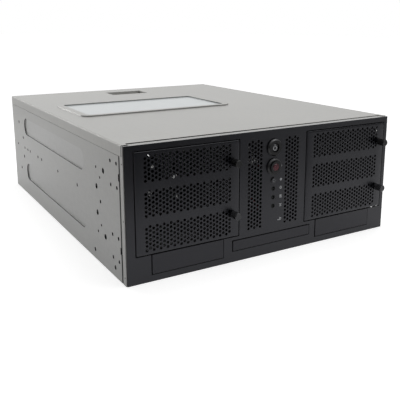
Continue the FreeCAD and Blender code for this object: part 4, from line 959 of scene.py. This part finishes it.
def studio():
    """A floor that keeps its shadow, and glows for the camera and for reflections."""
    floor_shape = bmesh.new()
    bmesh.ops.create_grid(floor_shape, x_segments=2, y_segments=2, size=FLOOR_REACH)
    shift(floor_shape, floor_shape.verts, y=FLOOR_REACH + TABLE_EDGE)
    wing = bmesh.ops.create_grid(floor_shape, x_segments=2, y_segments=2, size=WING_REACH)["verts"]
    shift(floor_shape, wing, x=WING_REACH + WING_LEFT, y=TABLE_EDGE - WING_REACH)
    mesh = bpy.data.meshes.new("floor")
    floor_shape.to_mesh(mesh)
    floor_shape.free()
    floor = bpy.data.objects.new("floor", mesh)
    bpy.context.scene.collection.objects.link(floor)
    paper = Finish("pale_floor")
    paper.set(Base_Color=(0.65, 0.65, 0.65), Roughness=0.9)
    away = paper.node("ShaderNodeVectorMath", {"operation": "LENGTH"}, {0: paper.place()},
                      output="Value")
    mirrored = paper.node("ShaderNodeLightPath", output="Is Glossy Ray")
    direct = paper.node("ShaderNodeLightPath", output="Is Camera Ray")
    seen = direct + mirrored
    ahead = paper.range(paper.parts(paper.place())[1], TABLE_EDGE, TABLE_EDGE - 0.01, 0.0, WING_DIM)
    glow = paper.range(away, 1.0, 4.0, NEAR_GLOW, FAR_GLOW)
    strength = glow * (1.0 - mirrored * ahead) + direct * CAMERA_GLOW
    shade = paper.node("ShaderNodeEmission", None,
                       {"Color": (1.0, 1.0, 1.0, 1.0), "Strength": strength})
    both = paper.tree.nodes.new("ShaderNodeAddShader")
    mixer = paper.tree.nodes.new("ShaderNodeMixShader")
    paper.tree.links.new(paper.surface.outputs[0], both.inputs[0])
    paper.tree.links.new(shade.socket, both.inputs[1])
    paper.tree.links.new(seen.socket, mixer.inputs[0])
    paper.tree.links.new(paper.surface.outputs[0], mixer.inputs[1])
    paper.tree.links.new(both.outputs[0], mixer.inputs[2])
    paper.tree.links.new(mixer.outputs[0], paper.tree.nodes["Material Output"].inputs[0])
    mesh.materials.append(paper.material)


# %% The lamps: name, place, width in metres, power in watts
LAMPS = (
    ("overhead", (0.5, -0.1, 2.2), 2.4, 40.5),
    ("left_rear", (-0.7, 1.0, 0.45), 0.5, 2.9),
)


CASE_MIDDLE = Vector((0.0, 0.0, 0.08))


def lamps():
    """Hang the square lamps, each turned to the middle of the case."""
    for name, place, size, power in LAMPS:
        light = bpy.data.lights.new(name, "AREA")
        light.shape, light.size, light.energy = "SQUARE", size, power
        lamp = bpy.data.objects.new(name, light)
        bpy.context.scene.collection.objects.link(lamp)
        lamp.location = place
        aim = CASE_MIDDLE - Vector(place)
        lamp.rotation_euler = aim.to_track_quat("-Z", "Y").to_euler()


# %% The world
AMBIENT = 0.11
ROOM_FRONT, ROOM_BACK, ROOM_FROM = 0.05, 1.0, -0.8


def sky():
    """White for the camera; reflections see a white backdrop behind and a dim room in front."""
    world = bpy.data.worlds.new("white_room")
    bpy.context.scene.world = world
    world.use_nodes = True
    nodes, links = world.node_tree.nodes, world.node_tree.links

    def blend(share, low, high):
        """A ramp node from low to high, for numbers or sockets."""
        made = nodes.new("ShaderNodeMapRange")
        for name, value in (("Value", share), ("To Min", low), ("To Max", high)):
            if isinstance(value, bpy.types.NodeSocket):
                links.new(value, made.inputs[name])
            else:
                made.inputs[name].default_value = value
        return made

    path = nodes.new("ShaderNodeLightPath")
    way = nodes.new("ShaderNodeSeparateXYZ")
    links.new(nodes.new("ShaderNodeTexCoord").outputs["Generated"], way.inputs[0])
    room = blend(way.outputs["Y"], ROOM_FRONT, ROOM_BACK)
    room.inputs["From Min"].default_value = ROOM_FROM
    mirrored = blend(path.outputs["Is Glossy Ray"], AMBIENT, room.outputs[0])
    seen = blend(path.outputs["Is Camera Ray"], mirrored.outputs[0], 1.0)
    links.new(seen.outputs[0], nodes["Background"].inputs["Strength"])
    nodes["Background"].inputs["Color"].default_value = (1.0, 1.0, 1.0, 1.0)


studio()
lamps()
sky()
bpy.context.scene.view_settings.view_transform = "Standard"
print("lamps:", [name for name, *rest in LAMPS])
